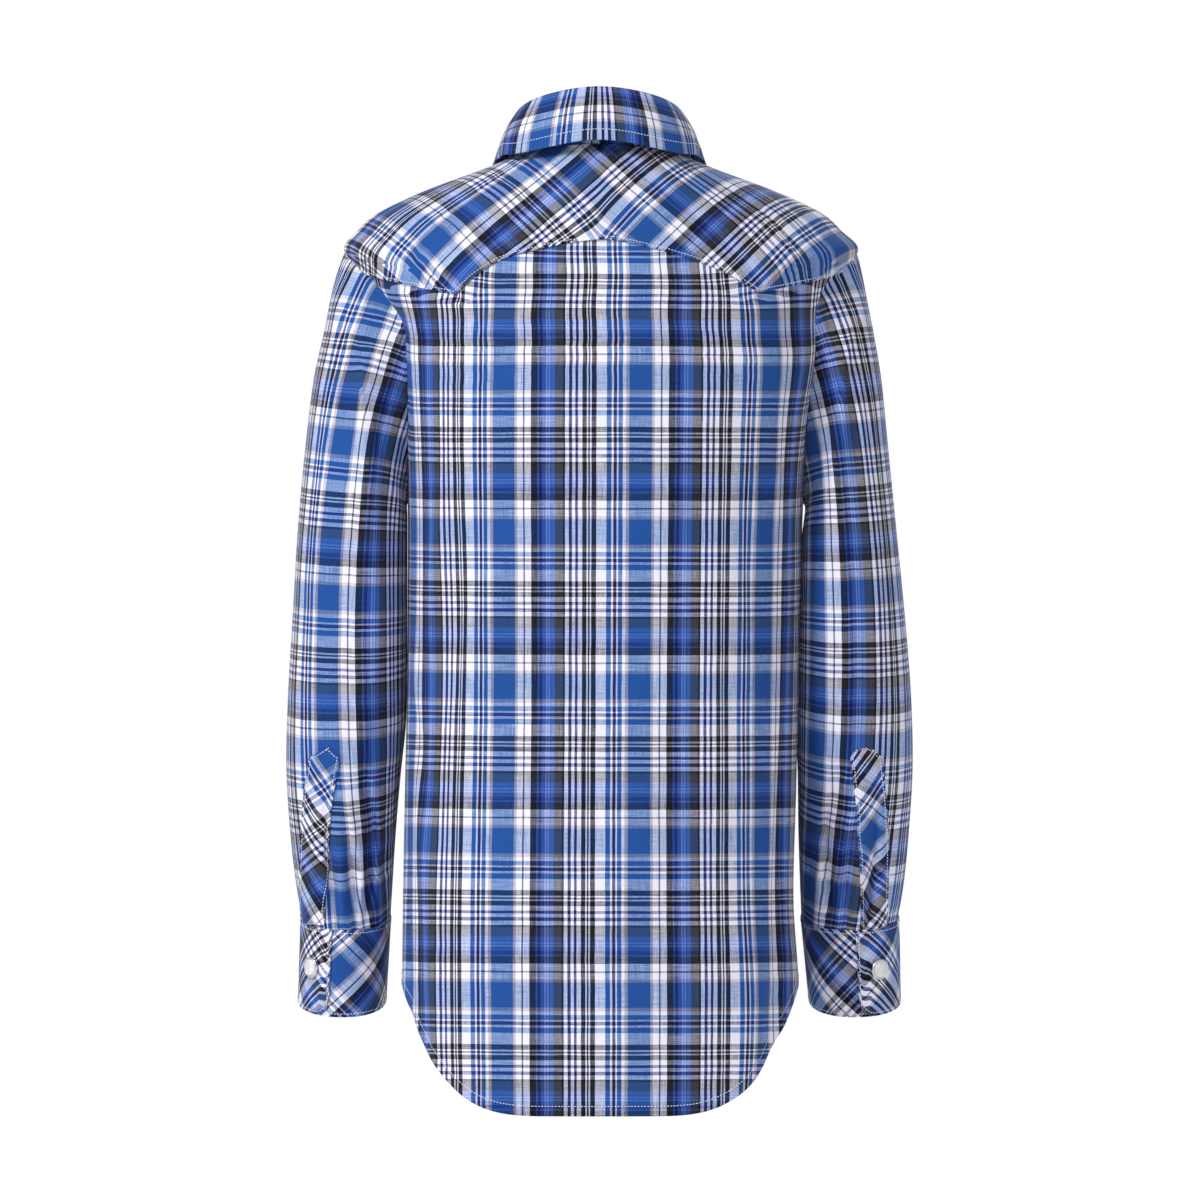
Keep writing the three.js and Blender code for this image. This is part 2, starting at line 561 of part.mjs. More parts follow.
function frontPanel(side) {
  const across = frontMiddle(side);
  const columns = [];
  for (let j = 0; j <= FRONT_COLS; j += 1) columns.push(j / FRONT_COLS);
  const points = [];
  for (const v of HEM_ROWS) {
    points.push(columns.map((share) => {
      const turn = lerp(side > 0 ? 1 - INSET : 0.5 + INSET, frontTurn(HEM_TOP, across), share);
      return bodyPoint(turn, lerp(hemLevel(turn, HEM_FRONT_LOW), HEM_TOP, v));
    }));
  }
  for (let i = 1; i <= LOWER_ROWS; i += 1) {
    const level = lerp(HEM_TOP, ARMPIT, i / LOWER_ROWS);
    points.push(columns.map((share) => frontPoint(side, share, level, level, across)));
  }
  for (let i = 1; i <= CHEST_ROWS; i += 1) {
    const sideLevel = lerp(ARMPIT, FRONT_CORNER, i / CHEST_ROWS);
    points.push(columns.map((share) => {
      const low = cornerAt(YOKE_FRONT_EDGE, "share", "level", share);
      return frontPoint(side, share, sideLevel, lerp(ARMPIT, low, i / CHEST_ROWS), across);
    }));
  }
  for (const v of FRONT_YOKE_ROWS.slice(1)) points.push(frontYokeRow(side, v, across));
  return wall(points, -WALL, 0, false, side < 0);
}

function frontYoke(side) {
  const rows = FRONT_YOKE_ROWS.map((v) => {
    const whole = frontYokeRow(side, v, frontMiddle(side));
    return whole.slice(0, side > 0 ? FRONT_COLS - UNDER_COLLAR_COLS : FRONT_COLS + 1);
  });
  return wall(rows, APPLIED, APPLIED + WALL, false, side < 0);
}

for (const [side, name] of [[1, "right"], [-1, "left"]]) {
  add("front_" + name, frontPanel(side), cloth);
  add("front_yoke_" + name, frontYoke(side), bias);
}

// Point of the placket, at a share of its width and a height.
const PLACKET_LIFT = APPLIED + WALL + 2 * APPLIED;
const PLACKET_ROWS = 26;
const PLACKET_SHORT = 0.5; // how far it ends before the hem and the neckline
function placketPoint(level, across) {
  return bodyPoint(frontTurn(level, across), level);
}

function placket() {
  const points = grid(PLACKET_ROWS, 2, (v, w) => {
    const across = lerp(-PLACKET_HALF, PLACKET_HALF, w);
    const level = lerp(HEM_FRONT_LOW + PLACKET_SHORT, NECK - PLACKET_SHORT, v);
    return placketPoint(level, across);
  });
  return wall(points, PLACKET_LIFT, PLACKET_LIFT + WALL, false, true);
}
add("front_placket", placket(), bias);

// Sleeves, their plackets and cuffs
const SLEEVE_COLS = 30;
const SLEEVE_STEPS = [0, 0.5, 1, 1.6, 2.2, 3, 3.7, 4.4, 5.2, 6, 7, 8, 9, 10, 10.6, 11.2, 12];

function sleeve(side) {
  const points = SLEEVE_STEPS.map((step) => {
    const row = [];
    for (let j = 0; j < SLEEVE_COLS; j += 1) row.push(sleevePoint(side, j / SLEEVE_COLS, step));
    return row;
  });
  const first = points[0].map((p, j) => {
    const turn = j / SLEEVE_COLS;
    const place = armholePlace(side, turn);
    const facing = bodyNormal(place.turn, place.level);
    const share = Math.min(Math.abs(turn - 0.5) / UNDERARM_REACH, 1);
    return (own) => own.clone().lerp(facing, THREE.MathUtils.smoothstep(share, 0, 1)).normalize();
  });
  return wall(points, -WALL, 0, true, side < 0, first);
}

// Point of a cuff's outer face: share 0 at its top and 1 at its lower edge.
function cuffPoint(side, turn, share) {
  const top = rowAt(SLEEVE, "step", 12);
  const pick = (a, b) => lerp(side > 0 ? a : b, side > 0 ? CUFF.outR : CUFF.outL, share);
  const outX = side * pick(top.outR, top.outL);
  const innX = side * lerp(side > 0 ? top.inR : top.inL, side > 0 ? CUFF.inR : CUFF.inL, share);
  const z = CUFF_TOP - SEAM - share * CUFF_HEIGHT;
  const mid = lerp(top.mid, CUFF.mid, share);
  const out = new THREE.Vector3(outX, mid, z);
  const inn = new THREE.Vector3(innX, mid, z);
  const tilt = lerp(top.tilt, CUFF.tilt, share);
  return ringPoint(out, inn, mid, lerp(top.deep, CUFF.deep, share), tilt, turn);
}

const CUFF_COLS = 32;
const CUFF_ROWS = 4;
const CORNER_SHARE = (CUFF_CORNER / CUFF_HEIGHT) * 0.92; // how much of the height a corner takes off

// The cuff is a band of one turn and its overlap, lifted by its own thickness where it laps.
function cuff(side) {
  const total = 1 + CUFF_OVERLAP;
  const end = side > 0 ? CUFF_END.right : CUFF_END.left;
  const points = grid(CUFF_ROWS, CUFF_COLS, (v, w) => {
    const along = w * total;
    const turn = end - total + along;
    const rise = THREE.MathUtils.smoothstep(along, CUFF_LAP_FROM, CUFF_LAP_TO);
    const fromEnd = (total - along) * CUFF_GIRTH;
    const corner = Math.max(CUFF_CORNER - fromEnd, 0) / CUFF_CORNER;
    const trim = 1 - (1 - Math.sqrt(1 - corner ** 2)) * CORNER_SHARE;
    const share = lerp(trim, 0, v);
    const p = cuffPoint(side, turn, share);
    const centre = cuffPoint(side, turn, share).add(cuffPoint(side, turn + 0.5, share));
    const away = p.clone().sub(centre.multiplyScalar(0.5)).setZ(0).normalize();
    return p.addScaledVector(away, rise * (WALL + CUFF_LAP_LIFT));
  });
  return wall(points, -WALL, 0, false, side > 0);
}

// Sleeve placket: a pointed strip on the outer back of the sleeve, above the cuff.
// across, height: its middle line as seen from behind. half: half its width there.
const STRIP = {
  1: [
    { across: 170.5, height: -485, half: 8 },
    { across: 170.5, height: -440, half: 9 },
    { across: 168.5, height: -405, half: 9.5 },
    { across: 165.5, height: -380, half: 9.8 },
    { across: 161.5, height: -368, half: 0.8 },
  ],
  "-1": [
    { across: -178.5, height: -480, half: 7.5 },
    { across: -177, height: -440, half: 8.4 },
    { across: -175, height: -410, half: 9 },
    { across: -170.6, height: -380, half: 9.4 },
    { across: -168.7, height: -373, half: 0.8 },
  ],
};

const STEP_SCALE = 10; // gives a sleeve's steps about the size of millimetres in the search
const STRIP_ROWS = 14;
const STRIP_COLS = 3;
const STRIP_TURN = 0.15; // first guess of its place round the sleeve
const STRIP_STEPS = { low: -11.98, guess: -10.5, high: -8.5 }; // and along it, counted downwards

function sleevePlacket(side) {
  const table = STRIP[side];
  const surface = (turn, level) => sleevePoint(side, turn, level / -STEP_SCALE);
  const points = grid(STRIP_ROWS, STRIP_COLS, (v, w) => {
    const at = v * (table.length - 1);
    const k = Math.min(Math.floor(at), table.length - 2);
    const u = at - k;
    const mix = (column) => lerp(table[k][column], table[k + 1][column], u);
    const across = mix("across") + side * mix("half") * lerp(1, -1, w);
    const [low, guess, high] = [STRIP_STEPS.low, STRIP_STEPS.guess, STRIP_STEPS.high].map(
      (step) => step * STEP_SCALE,
    );
    const place = seenFromBehind(surface, across, mix("height"), STRIP_TURN, guess, low, high);
    return surface(place.turn, place.level);
  });
  return wall(points, STRIP_LIFT, STRIP_LIFT + WALL, false, side > 0);
}

for (const [side, name] of [[1, "right"], [-1, "left"]]) {
  add("sleeve_" + name, sleeve(side), cloth);
  add("cuff_" + name, cuff(side), bias);
  add("sleeve_placket_" + name, sleevePlacket(side), bias);
}

// Collar

// Values of the collar at a place round the neck, from -1 to 1 by way of the back.
function collarRow(part) {
  return rowAt(COLLAR, "part", Math.abs(part));
}

// Point of the fold along the collar's top.
function foldPoint(part) {
  const r = collarRow(part);
  return new THREE.Vector3(Math.sign(part) * r.foldX, r.foldY, r.foldZ);
}

// Place round the body below a place of the collar.
const collarTurn = (part, reach) => 0.25 - part * reach;

// Point of the collar leaf: share 0 at the fold and 1 at its lower edge.
function leafPoint(part, share) {
  const r = collarRow(part);
  const turn = collarTurn(part, 0.5 - COLLAR_FRONT_TURN);
  const edge = bodyPoint(turn, r.level).addScaledVector(bodyNormal(turn, r.level), r.lift);
  const fold = foldPoint(part);
  const along = foldPoint(part + 0.02).sub(foldPoint(part - 0.02)).setZ(0).normalize();
  const away = new THREE.Vector3(along.y, -along.x, 0);
  const start = fold.clone().addScaledVector(away, WALL + LEAF_CLEAR);
  return start.lerp(edge, share).addScaledVector(away, LEAF_BULGE * Math.sin(Math.PI * share));
}

// Point of the collar stand: share 0 at the neckline and 1 just under the fold.
function standPoint(part, share) {
  const base = bodyPoint(collarTurn(part, 0.5), NECK);
  base.z += SEAM + WALL + APPLIED;
  return base.lerp(foldPoint(part), share);
}

function collarGrid(rows, cols, reach, pointAt) {
  return grid(rows, cols, (v, w) => pointAt(lerp(-reach, reach, w), v));
}

const STAND = { rows: 3, cols: 36, reach: 0.995 };
const LEAF = { rows: 5, cols: 40, reach: 0.985 };
const standGrid = collarGrid(STAND.rows, STAND.cols, STAND.reach, standPoint);
const leafGrid = collarGrid(LEAF.rows, LEAF.cols, LEAF.reach, leafPoint);
add("collar_stand", wall(standGrid, -WALL, 0, false, true), cloth);
add("collar_leaf", wall(leafGrid, -WALL, 0, false, true), cloth);

// Snaps

// A snap's cap: a low dome with a rolled rim, standing on the XY plane.
// out, up: shares of its radius and its height.
const CAP = [
  { out: 0, up: 0 },
  { out: 0.94, up: 0 },
  { out: 1, up: 0.35 },
  { out: 0.9, up: 0.7 },
  { out: 0.5, up: 0.95 },
  { out: 0, up: 1 },
];
const CAP_SEGMENTS = 16;

function capGeometry() {
  const profile = CAP.map((c) => new THREE.Vector2(c.out * SNAP_RADIUS, c.up * SNAP_HEIGHT));
  return new THREE.LatheGeometry(profile, CAP_SEGMENTS).rotateX(Math.PI / 2);
}

// Places a cap with its foot at a point, facing along a direction.
function addSnap(name, foot, facing) {
  const mesh = add(name, capGeometry(), pearl);
  mesh.position.copy(foot);
  mesh.quaternion.setFromUnitVectors(new THREE.Vector3(0, 0, 1), facing);
}

for (let k = 0; k < FRONT_SNAPS; k += 1) {
  const rise = k === 0 ? COLLAR_SNAP_RISE : 0;
  const level = lerp(SNAP_TOP, SNAP_LOW, k / (FRONT_SNAPS - 1)) + rise;
  const turn = frontTurn(level, 0);
  const facing = bodyNormal(turn, level);
  const foot = bodyPoint(turn, level).addScaledVector(facing, PLACKET_LIFT + WALL + APPLIED);
  addSnap("snap_front_" + (k + 1), foot, facing);
}

const NEAR_TURN = 0.01; // distance at which the cuff's slopes are taken round it
const NEAR_SHARE = 0.05; // and down it
for (const [side, name] of [[1, "right"], [-1, "left"]]) {
  const middle = CUFF_END[name] - CUFF_SNAP_BACK;
  const place = (turn, share) => cuffPoint(side, middle + turn, CUFF_SNAP_SHARE + share);
  const round = place(NEAR_TURN, 0).sub(place(-NEAR_TURN, 0));
  const down = place(0, -NEAR_SHARE).sub(place(0, NEAR_SHARE));
  const facing = down.cross(round).normalize().multiplyScalar(side);
  const foot = place(0, 0).addScaledVector(facing, WALL + CUFF_LAP_LIFT + SNAP_CLEAR);
  addSnap("snap_cuff_" + name, foot, facing);
}

export default group;
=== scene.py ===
"""The looks of a long-sleeved plaid western snap shirt, worn and hollow, seen from behind."""
import math
import bpy
import numpy as np
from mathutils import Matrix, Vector


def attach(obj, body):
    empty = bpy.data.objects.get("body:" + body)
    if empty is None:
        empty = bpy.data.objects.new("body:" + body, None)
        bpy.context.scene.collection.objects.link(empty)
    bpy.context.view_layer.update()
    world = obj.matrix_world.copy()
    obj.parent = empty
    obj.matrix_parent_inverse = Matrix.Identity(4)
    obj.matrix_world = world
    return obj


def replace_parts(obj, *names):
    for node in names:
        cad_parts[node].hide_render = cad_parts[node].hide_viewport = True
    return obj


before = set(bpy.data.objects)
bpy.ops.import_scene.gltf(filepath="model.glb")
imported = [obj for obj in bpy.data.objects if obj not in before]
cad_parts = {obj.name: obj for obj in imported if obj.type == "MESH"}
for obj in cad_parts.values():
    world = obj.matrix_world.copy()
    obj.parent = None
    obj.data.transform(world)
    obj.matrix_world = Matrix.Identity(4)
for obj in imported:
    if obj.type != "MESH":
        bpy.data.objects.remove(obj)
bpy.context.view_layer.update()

# Sizes, in millimetres unless a line says otherwise. The frame's own unit is the metre.
MM = 0.001
CLOTH = 0.55  # thickness of one layer
DOUBLE = 1.1  # thickness of the placket and the cuffs
FOLDED = 0.45  # what a turned-under edge adds to one layer
YOKE_LIFT = 1.0  # how far the yokes stand off the panels
PLACKET_LIFT = 2.0
HEM_LOW = -601
HEM_FRONT_LOW = -592
HEM_SIDE = -521
HEM_STRAIGHT = HEM_SIDE + 18  # where the rows of a panel run straight across
HEM_REACH = 150
HEM_CURVE = 3.2
HEM_TURN = 6.2  # width of the rolled hem
YOKE_TURN = 5  # width of the yoke's turned edge
YOKE_PUCKER = 2.5
YOKE_INSET = -0.0006  # turns by which the yoke's ends pass the back's
TURN_FADE = 1.2
HEM_PROUD = 0.6  # share of the hem's extra thickness that shows outside
ARMPIT = -220
SHOULDER_TIP = -64
NECK = -9
SEAM_FORWARD = 6
CORNER_LEVEL = -77
PLACKET_HALF = 14
CUFF_HEIGHT = 50
CUFF_TOP = -481
SEAM_GAP = 0.3
CUFF_OVERLAP = 0.12  # share of a turn that the cuff's ends lap
CUFF_GIRTH = 210
CUFF_CORNER = 11
CUFF_END = {1: 0.236, -1: 0.205}  # turn where the upper end lies, on the right and the left
CUFF_SNAP_BACK = 0.07  # turns from there to the snap
LAP_START = 0.78  # where the upper end starts to rise over the lower one, in turns
LAP_RISE = 0.21
LAP_HEIGHT = 1.3
FRONT_SNAPS = 7
SNAP_TOP = -68
SNAP_RAISED = 26  # how far the collar's snap is above its even place
SNAP_LOW = -540
STITCH_PITCH = 2.05
STITCH_LONG = 1.5
STITCH_WIDE = 0.5
STITCH_HIGH = 0.24
STITCH_CLEAR = 0.02
STITCH_IN = dict(hem=HEM_TURN, yoke=1.8, collar=6.8, placket=4, cuff=2, sleeve_placket=1.6)


def table(columns, *rows):
    """A short table, as a list of rows with named columns."""
    return [dict(zip(columns.split(), row)) for row in rows]


# Rings of the body, from the hem to the neckline: the height where each passes the side, the
# back and the front, half its width, its middle along X, its depths and its squareness.
BODY = table(
    "side back front half shift deepBack deepFront square",
    (-612, -612, -612, 122.5, 0, 99, 97, 2.5),
    (-523, -523, -523, 123.4, 0.5, 101, 99, 2.5),
    (-468, -468, -468, 121.6, -0.8, 100, 99, 2.5),
    (-406, -406, -406, 121.8, 0.5, 98, 98, 2.5),
    (-344, -344, -344, 122, 2, 97, 97, 2.5),
    (-280, -280, -280, 122.5, 3, 100, 98, 2.5),
    (-220, -220, -220, 123.2, 3.7, 104, 97, 2.5),
    (-170, -176, -182, 126.6, 5, 105, 92, 2.5),
    (-130, -142, -150, 133, 7, 105, 88, 2.4),
    (-108, -124, -134, 136.5, 6, 103, 84, 2.3),
    (-88, -106, -120, 145, 1.5, 100, 80, 2.2),
    (-64, -80, -104, 159, 1, 94, 74, 2.1),
    (-53, -66, -97, 150, 0, 89, 70, 2.1),
    (-43, -54, -90, 139, 0, 84, 67, 2.1),
    (-34, -42, -84, 121.5, 0, 78, 63, 2.1),
    (-25, -28, -77, 100, 0, 70, 60, 2.1),
    (-16, -13, -69, 75, 0, 61, 57, 2.1),
    (-9, 0, -62, 58, 0, 52, 55, 2.05),
)

# Depth of the armhole's edge behind and in front of the side line, at each height.
ARMHOLE = table(
    "side back front",
    (-220, 0, 0),
    (-208, 13, 15),
    (-190, 23, 26),
    (-160, 33, 36),
    (-130, 40, 41),
    (-105, 42, 41),
    (-88, 37, 34),
    (-74, 24, 20),
    (-64, -6, 6),
)

# Lower edge of the back yoke as seen from behind, from the wearer's right to the left.
YOKE_EDGE = table(
    "across height",
    (137.5, -79),
    (97.7, -92),
    (61.7, -73.5),
    (23.3, -62.6),
    (0.3, -59.5),
    (-41.2, -66.3),
    (-64.2, -73.8),
    (-88.4, -93),
    (-141, -79),
)
YOKE_POINTS = (1, 7)  # the rows above that are sharp points

# Lower edge of each front yoke: share of the way from the armhole to the placket, height.
YOKE_FRONT_EDGE = table("share level", (0, -112), (0.5, -150), (1, -98))

# Rings of the sleeves below the armhole, down to the cuff.
SLEEVE = table(
    "step zOut zIn outL outR inL inR mid deep tilt",
    (1, -76, -221.5, 163.5, 163.5, 120.5, 128, 0, 93, 0),
    (2, -92, -226, 167, 166, 119.8, 128, 0, 95, 0),
    (3, -115, -234, 171.5, 170.5, 119.4, 127, 0, 96, 0.02),
    (4, -145, -248, 178, 175.5, 119.4, 125.2, 0, 97, 0.04),
    (5, -190, -268, 183.5, 180, 119.4, 124.4, 0, 98, 0.05),
    (6, -240, -296, 188, 185, 119.4, 123.6, 0, 97, 0.07),
    (7, -290, -326, 191, 190, 119.6, 122.8, 3, 96, 0.1),
    (8, -340, -360, 194, 194, 120.6, 122.6, 8, 94, 0.13),
    (9, -385, -392, 195.2, 195.2, 124, 123.5, 14, 90, 0.16),
    (10, -425, -427, 193, 193, 127, 124, 21, 85, 0.2),
    (11, -457, -457, 189.5, 190, 129, 125, 26, 81, 0.2),
    (12, -481, -481, 185.2, 186, 130.5, 126, 30, 78, 0.2),
)
SLEEVE_SQUARE = 2.2
CAP_FADE = 2.2
ARMHOLE_EASE = 0.12
SLEEVE_TUCK = 2.2  # how far the sleeve's end passes under the edge of the armhole
SLEEVE_UNDER = 1.1  # and how deep below it
BESIDE = 0.3  # least way from the side of the body to a sleeve
CUFF = dict(outL=187, outR=187, inL=133.5, inR=131, mid=38, deep=78, tilt=0.27)

# Folds. turn: place round the form. place: height on the body, or step along a sleeve.
# wide, long: reach in turns and along. lean: turns gained along. out: height of the ridge.
FOLD = "turn place wide long lean out"
BODY_FOLDS = table(
    FOLD,
    (0.415, -440, 0.018, 46, 0.00025, 2.6),
    (0.37, -285, 0.02, 60, -0.0002, -2.4),
    (0.085, -530, 0.016, 60, -0.0002, -3),
    (0.13, -545, 0.018, 52, -0.0001, 2.4),
    (0.87, -500, 0.02, 70, 0.0002, -3),
    (0.64, -520, 0.02, 60, -0.0002, 2.6),
)
SLEEVE_FOLDS = table(
    FOLD,
    (0.19, 3, 0.035, 2.2, 0.012, -4),
    (0.27, 3.2, 0.035, 2.4, 0.014, 3),
    (0.36, 4, 0.03, 2, 0.01, -3.5),
    (0.7, 3.5, 0.04, 2.2, -0.012, -3.5),
    (0.3, 11, 0.025, 1, 0, -2.4),
    (0.38, 11.2, 0.025, 1.1, 0, 2.2),
    (0.62, 11, 0.03, 1, 0, -2.4),
)

# Softer creases that only the shell has, in the same columns.
BODY_CREASES = table(
    FOLD,
    (0.445, -330, 0.01, 34, 0.0003, 1.5),
    (0.43, -372, 0.012, 30, 0.0004, -1.8),
    (0.4, -250, 0.011, 46, -0.0002, 1.4),
    (0.335, -300, 0.016, 90, 5e-05, 1.2),
    (0.3, -420, 0.014, 120, -5e-05, -1),
    (0.25, -500, 0.016, 80, 5e-05, 1.4),
    (0.205, -430, 0.013, 110, 6e-05, -1.2),
    (0.165, -360, 0.012, 80, 0.0001, 1.2),
    (0.13, -260, 0.01, 60, 0.0002, -1.4),
    (0.1, -200, 0.01, 40, 0.0003, 1.4),
    (0.075, -420, 0.009, 70, -0.0001, -1.7),
    (0.06, -480, 0.008, 50, -0.0002, 1.8),
    (0.4, -520, 0.012, 60, 0.0001, 1.7),
    (0.45, -500, 0.01, 60, 0.0002, -1.5),
    (0.6, -300, 0.014, 90, -0.0001, 1.4),
    (0.66, -400, 0.013, 110, 0.0001, -1.4),
    (0.7, -220, 0.012, 60, 0.0002, 1.2),
    (0.8, -240, 0.012, 70, -0.0002, -1.4),
    (0.84, -380, 0.014, 110, 0.0001, 1.5),
    (0.9, -300, 0.013, 80, -0.0001, -1.4),
    (0.94, -430, 0.01, 70, 0.0001, 1.5),
)
SLEEVE_CREASES = table(
    FOLD,
    (0.1, 2.4, 0.02, 1.4, 0.01, 2.1),
    (0.15, 3.4, 0.018, 1.8, 0.012, -2.6),
    (0.23, 2.4, 0.016, 1.5, 0.012, 2.6),
    (0.31, 3, 0.018, 1.8, 0.01, -2.7),
    (0.12, 1.7, 0.014, 0.8, 0.05, -2.6),
    (0.17, 1.5, 0.012, 0.7, 0.05, 2.4),
    (0.22, 6.5, 0.03, 1.6, 0.02, -1.7),
    (0.3, 8, 0.024, 1.2, -0.02, 1.7),
    (0.4, 7, 0.028, 1.4, 0.015, -1.7),
    (0.33, 9.4, 0.016, 0.8, 0.045, -3.4),
    (0.28, 9.8, 0.014, 0.8, 0.04, 2.7),
    (0.05, 9, 0.024, 1.5, 0.01, 1.5),
    (0.215, 10.75, 0.015, 1.3, 0.004, -6.1),
    (0.245, 10.85, 0.0137, 0.9, -0.004, 2.7),
    (0.275, 10.65, 0.0125, 0.9, 0.01, -4.6),
    (0.305, 10.85, 0.0137, 0.8, -0.006, 3),
    (0.335, 10.55, 0.0137, 1, -0.012, -4.6),
    (0.37, 10.85, 0.015, 0.8, 0.008, 2.7),
    (0.405, 10.65, 0.015, 0.9, 0.004, -4.2),
    (0.46, 10.65, 0.0163, 0.8, 0, 2.1),
    (0.52, 10.55, 0.02, 0.9, 0, -2.7),
    (0.58, 10.75, 0.0175, 0.8, 0, 2.1),
    (0.65, 10.65, 0.0175, 0.9, 0.004, -3),
    (0.72, 10.55, 0.02, 0.9, 0, 2.2),
    (0.79, 10.75, 0.0163, 0.8, -0.004, -2.7),
    (0.86, 10.65, 0.0175, 0.8, 0, 1.8),
    (0.93, 10.75, 0.0163, 0.8, 0, -2.1),
    (0.6, 8, 0.026, 1.3, 0.015, -1.7),
    (0.68, 6.4, 0.024, 1.4, -0.015, 1.7),
    (0.8, 5, 0.022, 1.6, 0.01, -1.7),
    (0.9, 3.2, 0.022, 1.6, -0.01, 1.9),
)

# The plaid: its threads in order, with the width of each stripe in millimetres.
WHITE = (0.92, 0.915, 0.985)
BLACK = (0.02, 0.02, 0.05)
ROYAL = (0.12, 0.305, 0.59)
NAVY = (0.05, 0.06, 0.29)
BLUE = (0.13, 0.28, 0.58)
PALE = (0.42, 0.51, 0.80)
PERIWINKLE = (0.24, 0.36, 0.67)
TAUPE = (0.22, 0.22, 0.25)
TAN = (0.66, 0.62, 0.66)
SETT = [
    (6, BLACK), (1.5, BLUE), (3, NAVY), (4, BLUE), (1.5, PALE), (1, BLUE), (1.5, PALE),
    (1, BLUE), (4, PERIWINKLE), (7.5, TAUPE), (2, BLACK), (4, WHITE), (3, NAVY),
    (3, WHITE), (3, NAVY), (4, WHITE), (4.5, BLACK), (1.5, WHITE), (1.5, BLACK),
    (1.5, WHITE), (4.5, BLACK), (10, WHITE), (5, ROYAL), (2, WHITE), (3, NAVY),
    (1.5, WHITE), (4.5, ROYAL), (3, WHITE), (3, TAN), (22, ROYAL), (2.5, TAN),
    (6, WHITE), (1.5, TAUPE), (6.5, WHITE),
]
WARP_REPEAT = 84.6
WEFT_REPEAT = 95.5
WEFT_SHARE = 0.39  # how much of the face is weft
YARN = 0.56
CROSSING = np.array([0.7948 * WARP_REPEAT, 0.7948 * WEFT_REPEAT])  # the broad blue stripes' middles
PIN_REACH = 4.5  # how far from a pin the cut is measured
PIN_DEPTH = 2.5  # and how far below the foremost cloth there
FAR = 1000

# Where the middles of the plaid's broad blue stripes cross on each piece: x and z, as seen.
PIN = {
    "back_panel": (25.4, -144.9), "back_yoke": (28.2, -54.6), "front_placket": (0, -300),
    "front_right": (60, -145), "front_left": (-70, -145),
    "front_yoke_right": (70, -104), "front_yoke_left": (-70, -104),
    "sleeve_right": (134.6, -277.7), "sleeve_left": (-168.8, -280.8),
    "cuff_right": (167.4, -508.7), "cuff_left": (-162.7, -512.5),
    "sleeve_placket_right": (169.4, -428.5), "sleeve_placket_left": (-169, -377.7),
    "collar_leaf": (-37.3, 1.2),
}


# Tables and small helpers


def row_at(rows, key, value):
    """A table smoothly interpolated at values of its key column, as an array for each column."""
    keys = np.array([r[key] for r in rows], float)
    value = np.asarray(value, float)
    last = len(keys) - 1
    k = np.clip(np.searchsorted(keys, value, side="left") - 1, 0, last - 1)
    span = keys[k + 1] - keys[k]
    u = np.clip((value - keys[k]) / span, 0, 1)
    before = np.maximum(np.arange(last + 1) - 1, 0)
    after = np.minimum(np.arange(last + 1) + 1, last)
    found = {}
    for name in rows[0]:
        column = np.array([r[name] for r in rows], float)
        slope = (column[after] - column[before]) / (keys[after] - keys[before])
        start = (2 * u**3 - 3 * u**2 + 1) * column[k] + (u**3 - 2 * u**2 + u) * slope[k] * span
        end = (3 * u**2 - 2 * u**3) * column[k + 1] + (u**3 - u**2) * slope[k + 1] * span
        found[name] = start + end
    return found


def lerp(a, b, u):
    return a + (b - a) * u


def power(v, e):
    return np.sign(v) * np.abs(v) ** e


def smooth(u):
    u = np.clip(u, 0, 1)
    return u * u * (3 - 2 * u)


def smoother(u):
    u = np.clip(u, 0, 1)
    return u**3 * (u * (u * 6 - 15) + 10)


def unit(v):
    return v / np.maximum(np.linalg.norm(v, axis=-1, keepdims=True), 1e-9)


def fold_sum(folds, turn, place):
    total = 0.0
    for f in folds:
        along = place - f["place"]
        t = turn - f["turn"] - f["lean"] * along
        t = t - np.round(t)
        total = total + f["out"] * np.exp(-((t / f["wide"]) ** 2) - (along / f["long"]) ** 2)
    return total


def ripple(a, b, size, seed):
    """Smooth uneven waves over two coordinates in millimetres, from -1 to 1 or so."""
    draw = np.random.default_rng(seed)
    total = np.zeros(np.broadcast(a, b).shape)
    for _ in range(7):
        angle = draw.uniform(0, math.pi)
        long = size * draw.uniform(0.7, 1.9)
        phase = draw.uniform(0, 2 * math.pi)
        total = total + np.sin((a * math.cos(angle) + b * math.sin(angle)) * 2 * math.pi / long + phase)
    return total / 7**0.5


# Form of the body


def body_point(turn, level, creases=True):
    """Points of the body, at places round it in turns and heights of its side line."""
    turn, level = np.broadcast_arrays(np.asarray(turn, float), np.asarray(level, float))
    r = row_at(BODY, "side", level)
    c = power(np.cos(2 * np.pi * turn), 2 / r["square"])
    s = power(np.sin(2 * np.pi * turn), 2 / r["square"])
    behind = s > 0
    out = fold_sum(BODY_FOLDS, turn, level)
    if creases:
        out = out + fold_sum(BODY_CREASES, turn, level)
    x = r["shift"] + (r["half"] + out) * c
    y = -(np.where(behind, r["deepBack"], r["deepFront"]) + out) * s
    end = np.where(behind, r["back"], r["front"])
    return np.stack([x, y, level + (end - level) * s * s], -1)


def body_normal(turn, level):
    a = body_point(turn + 0.004, level) - body_point(turn - 0.004, level)
    b = body_point(turn, level + 1) - body_point(turn, level - 1)
    return unit(np.cross(b, a))


def turn_of_depth(level, depth, column):
    r = row_at(BODY, "side", level)
    return np.arcsin(power(depth / r[column], r["square"] / 2)) / (2 * np.pi)


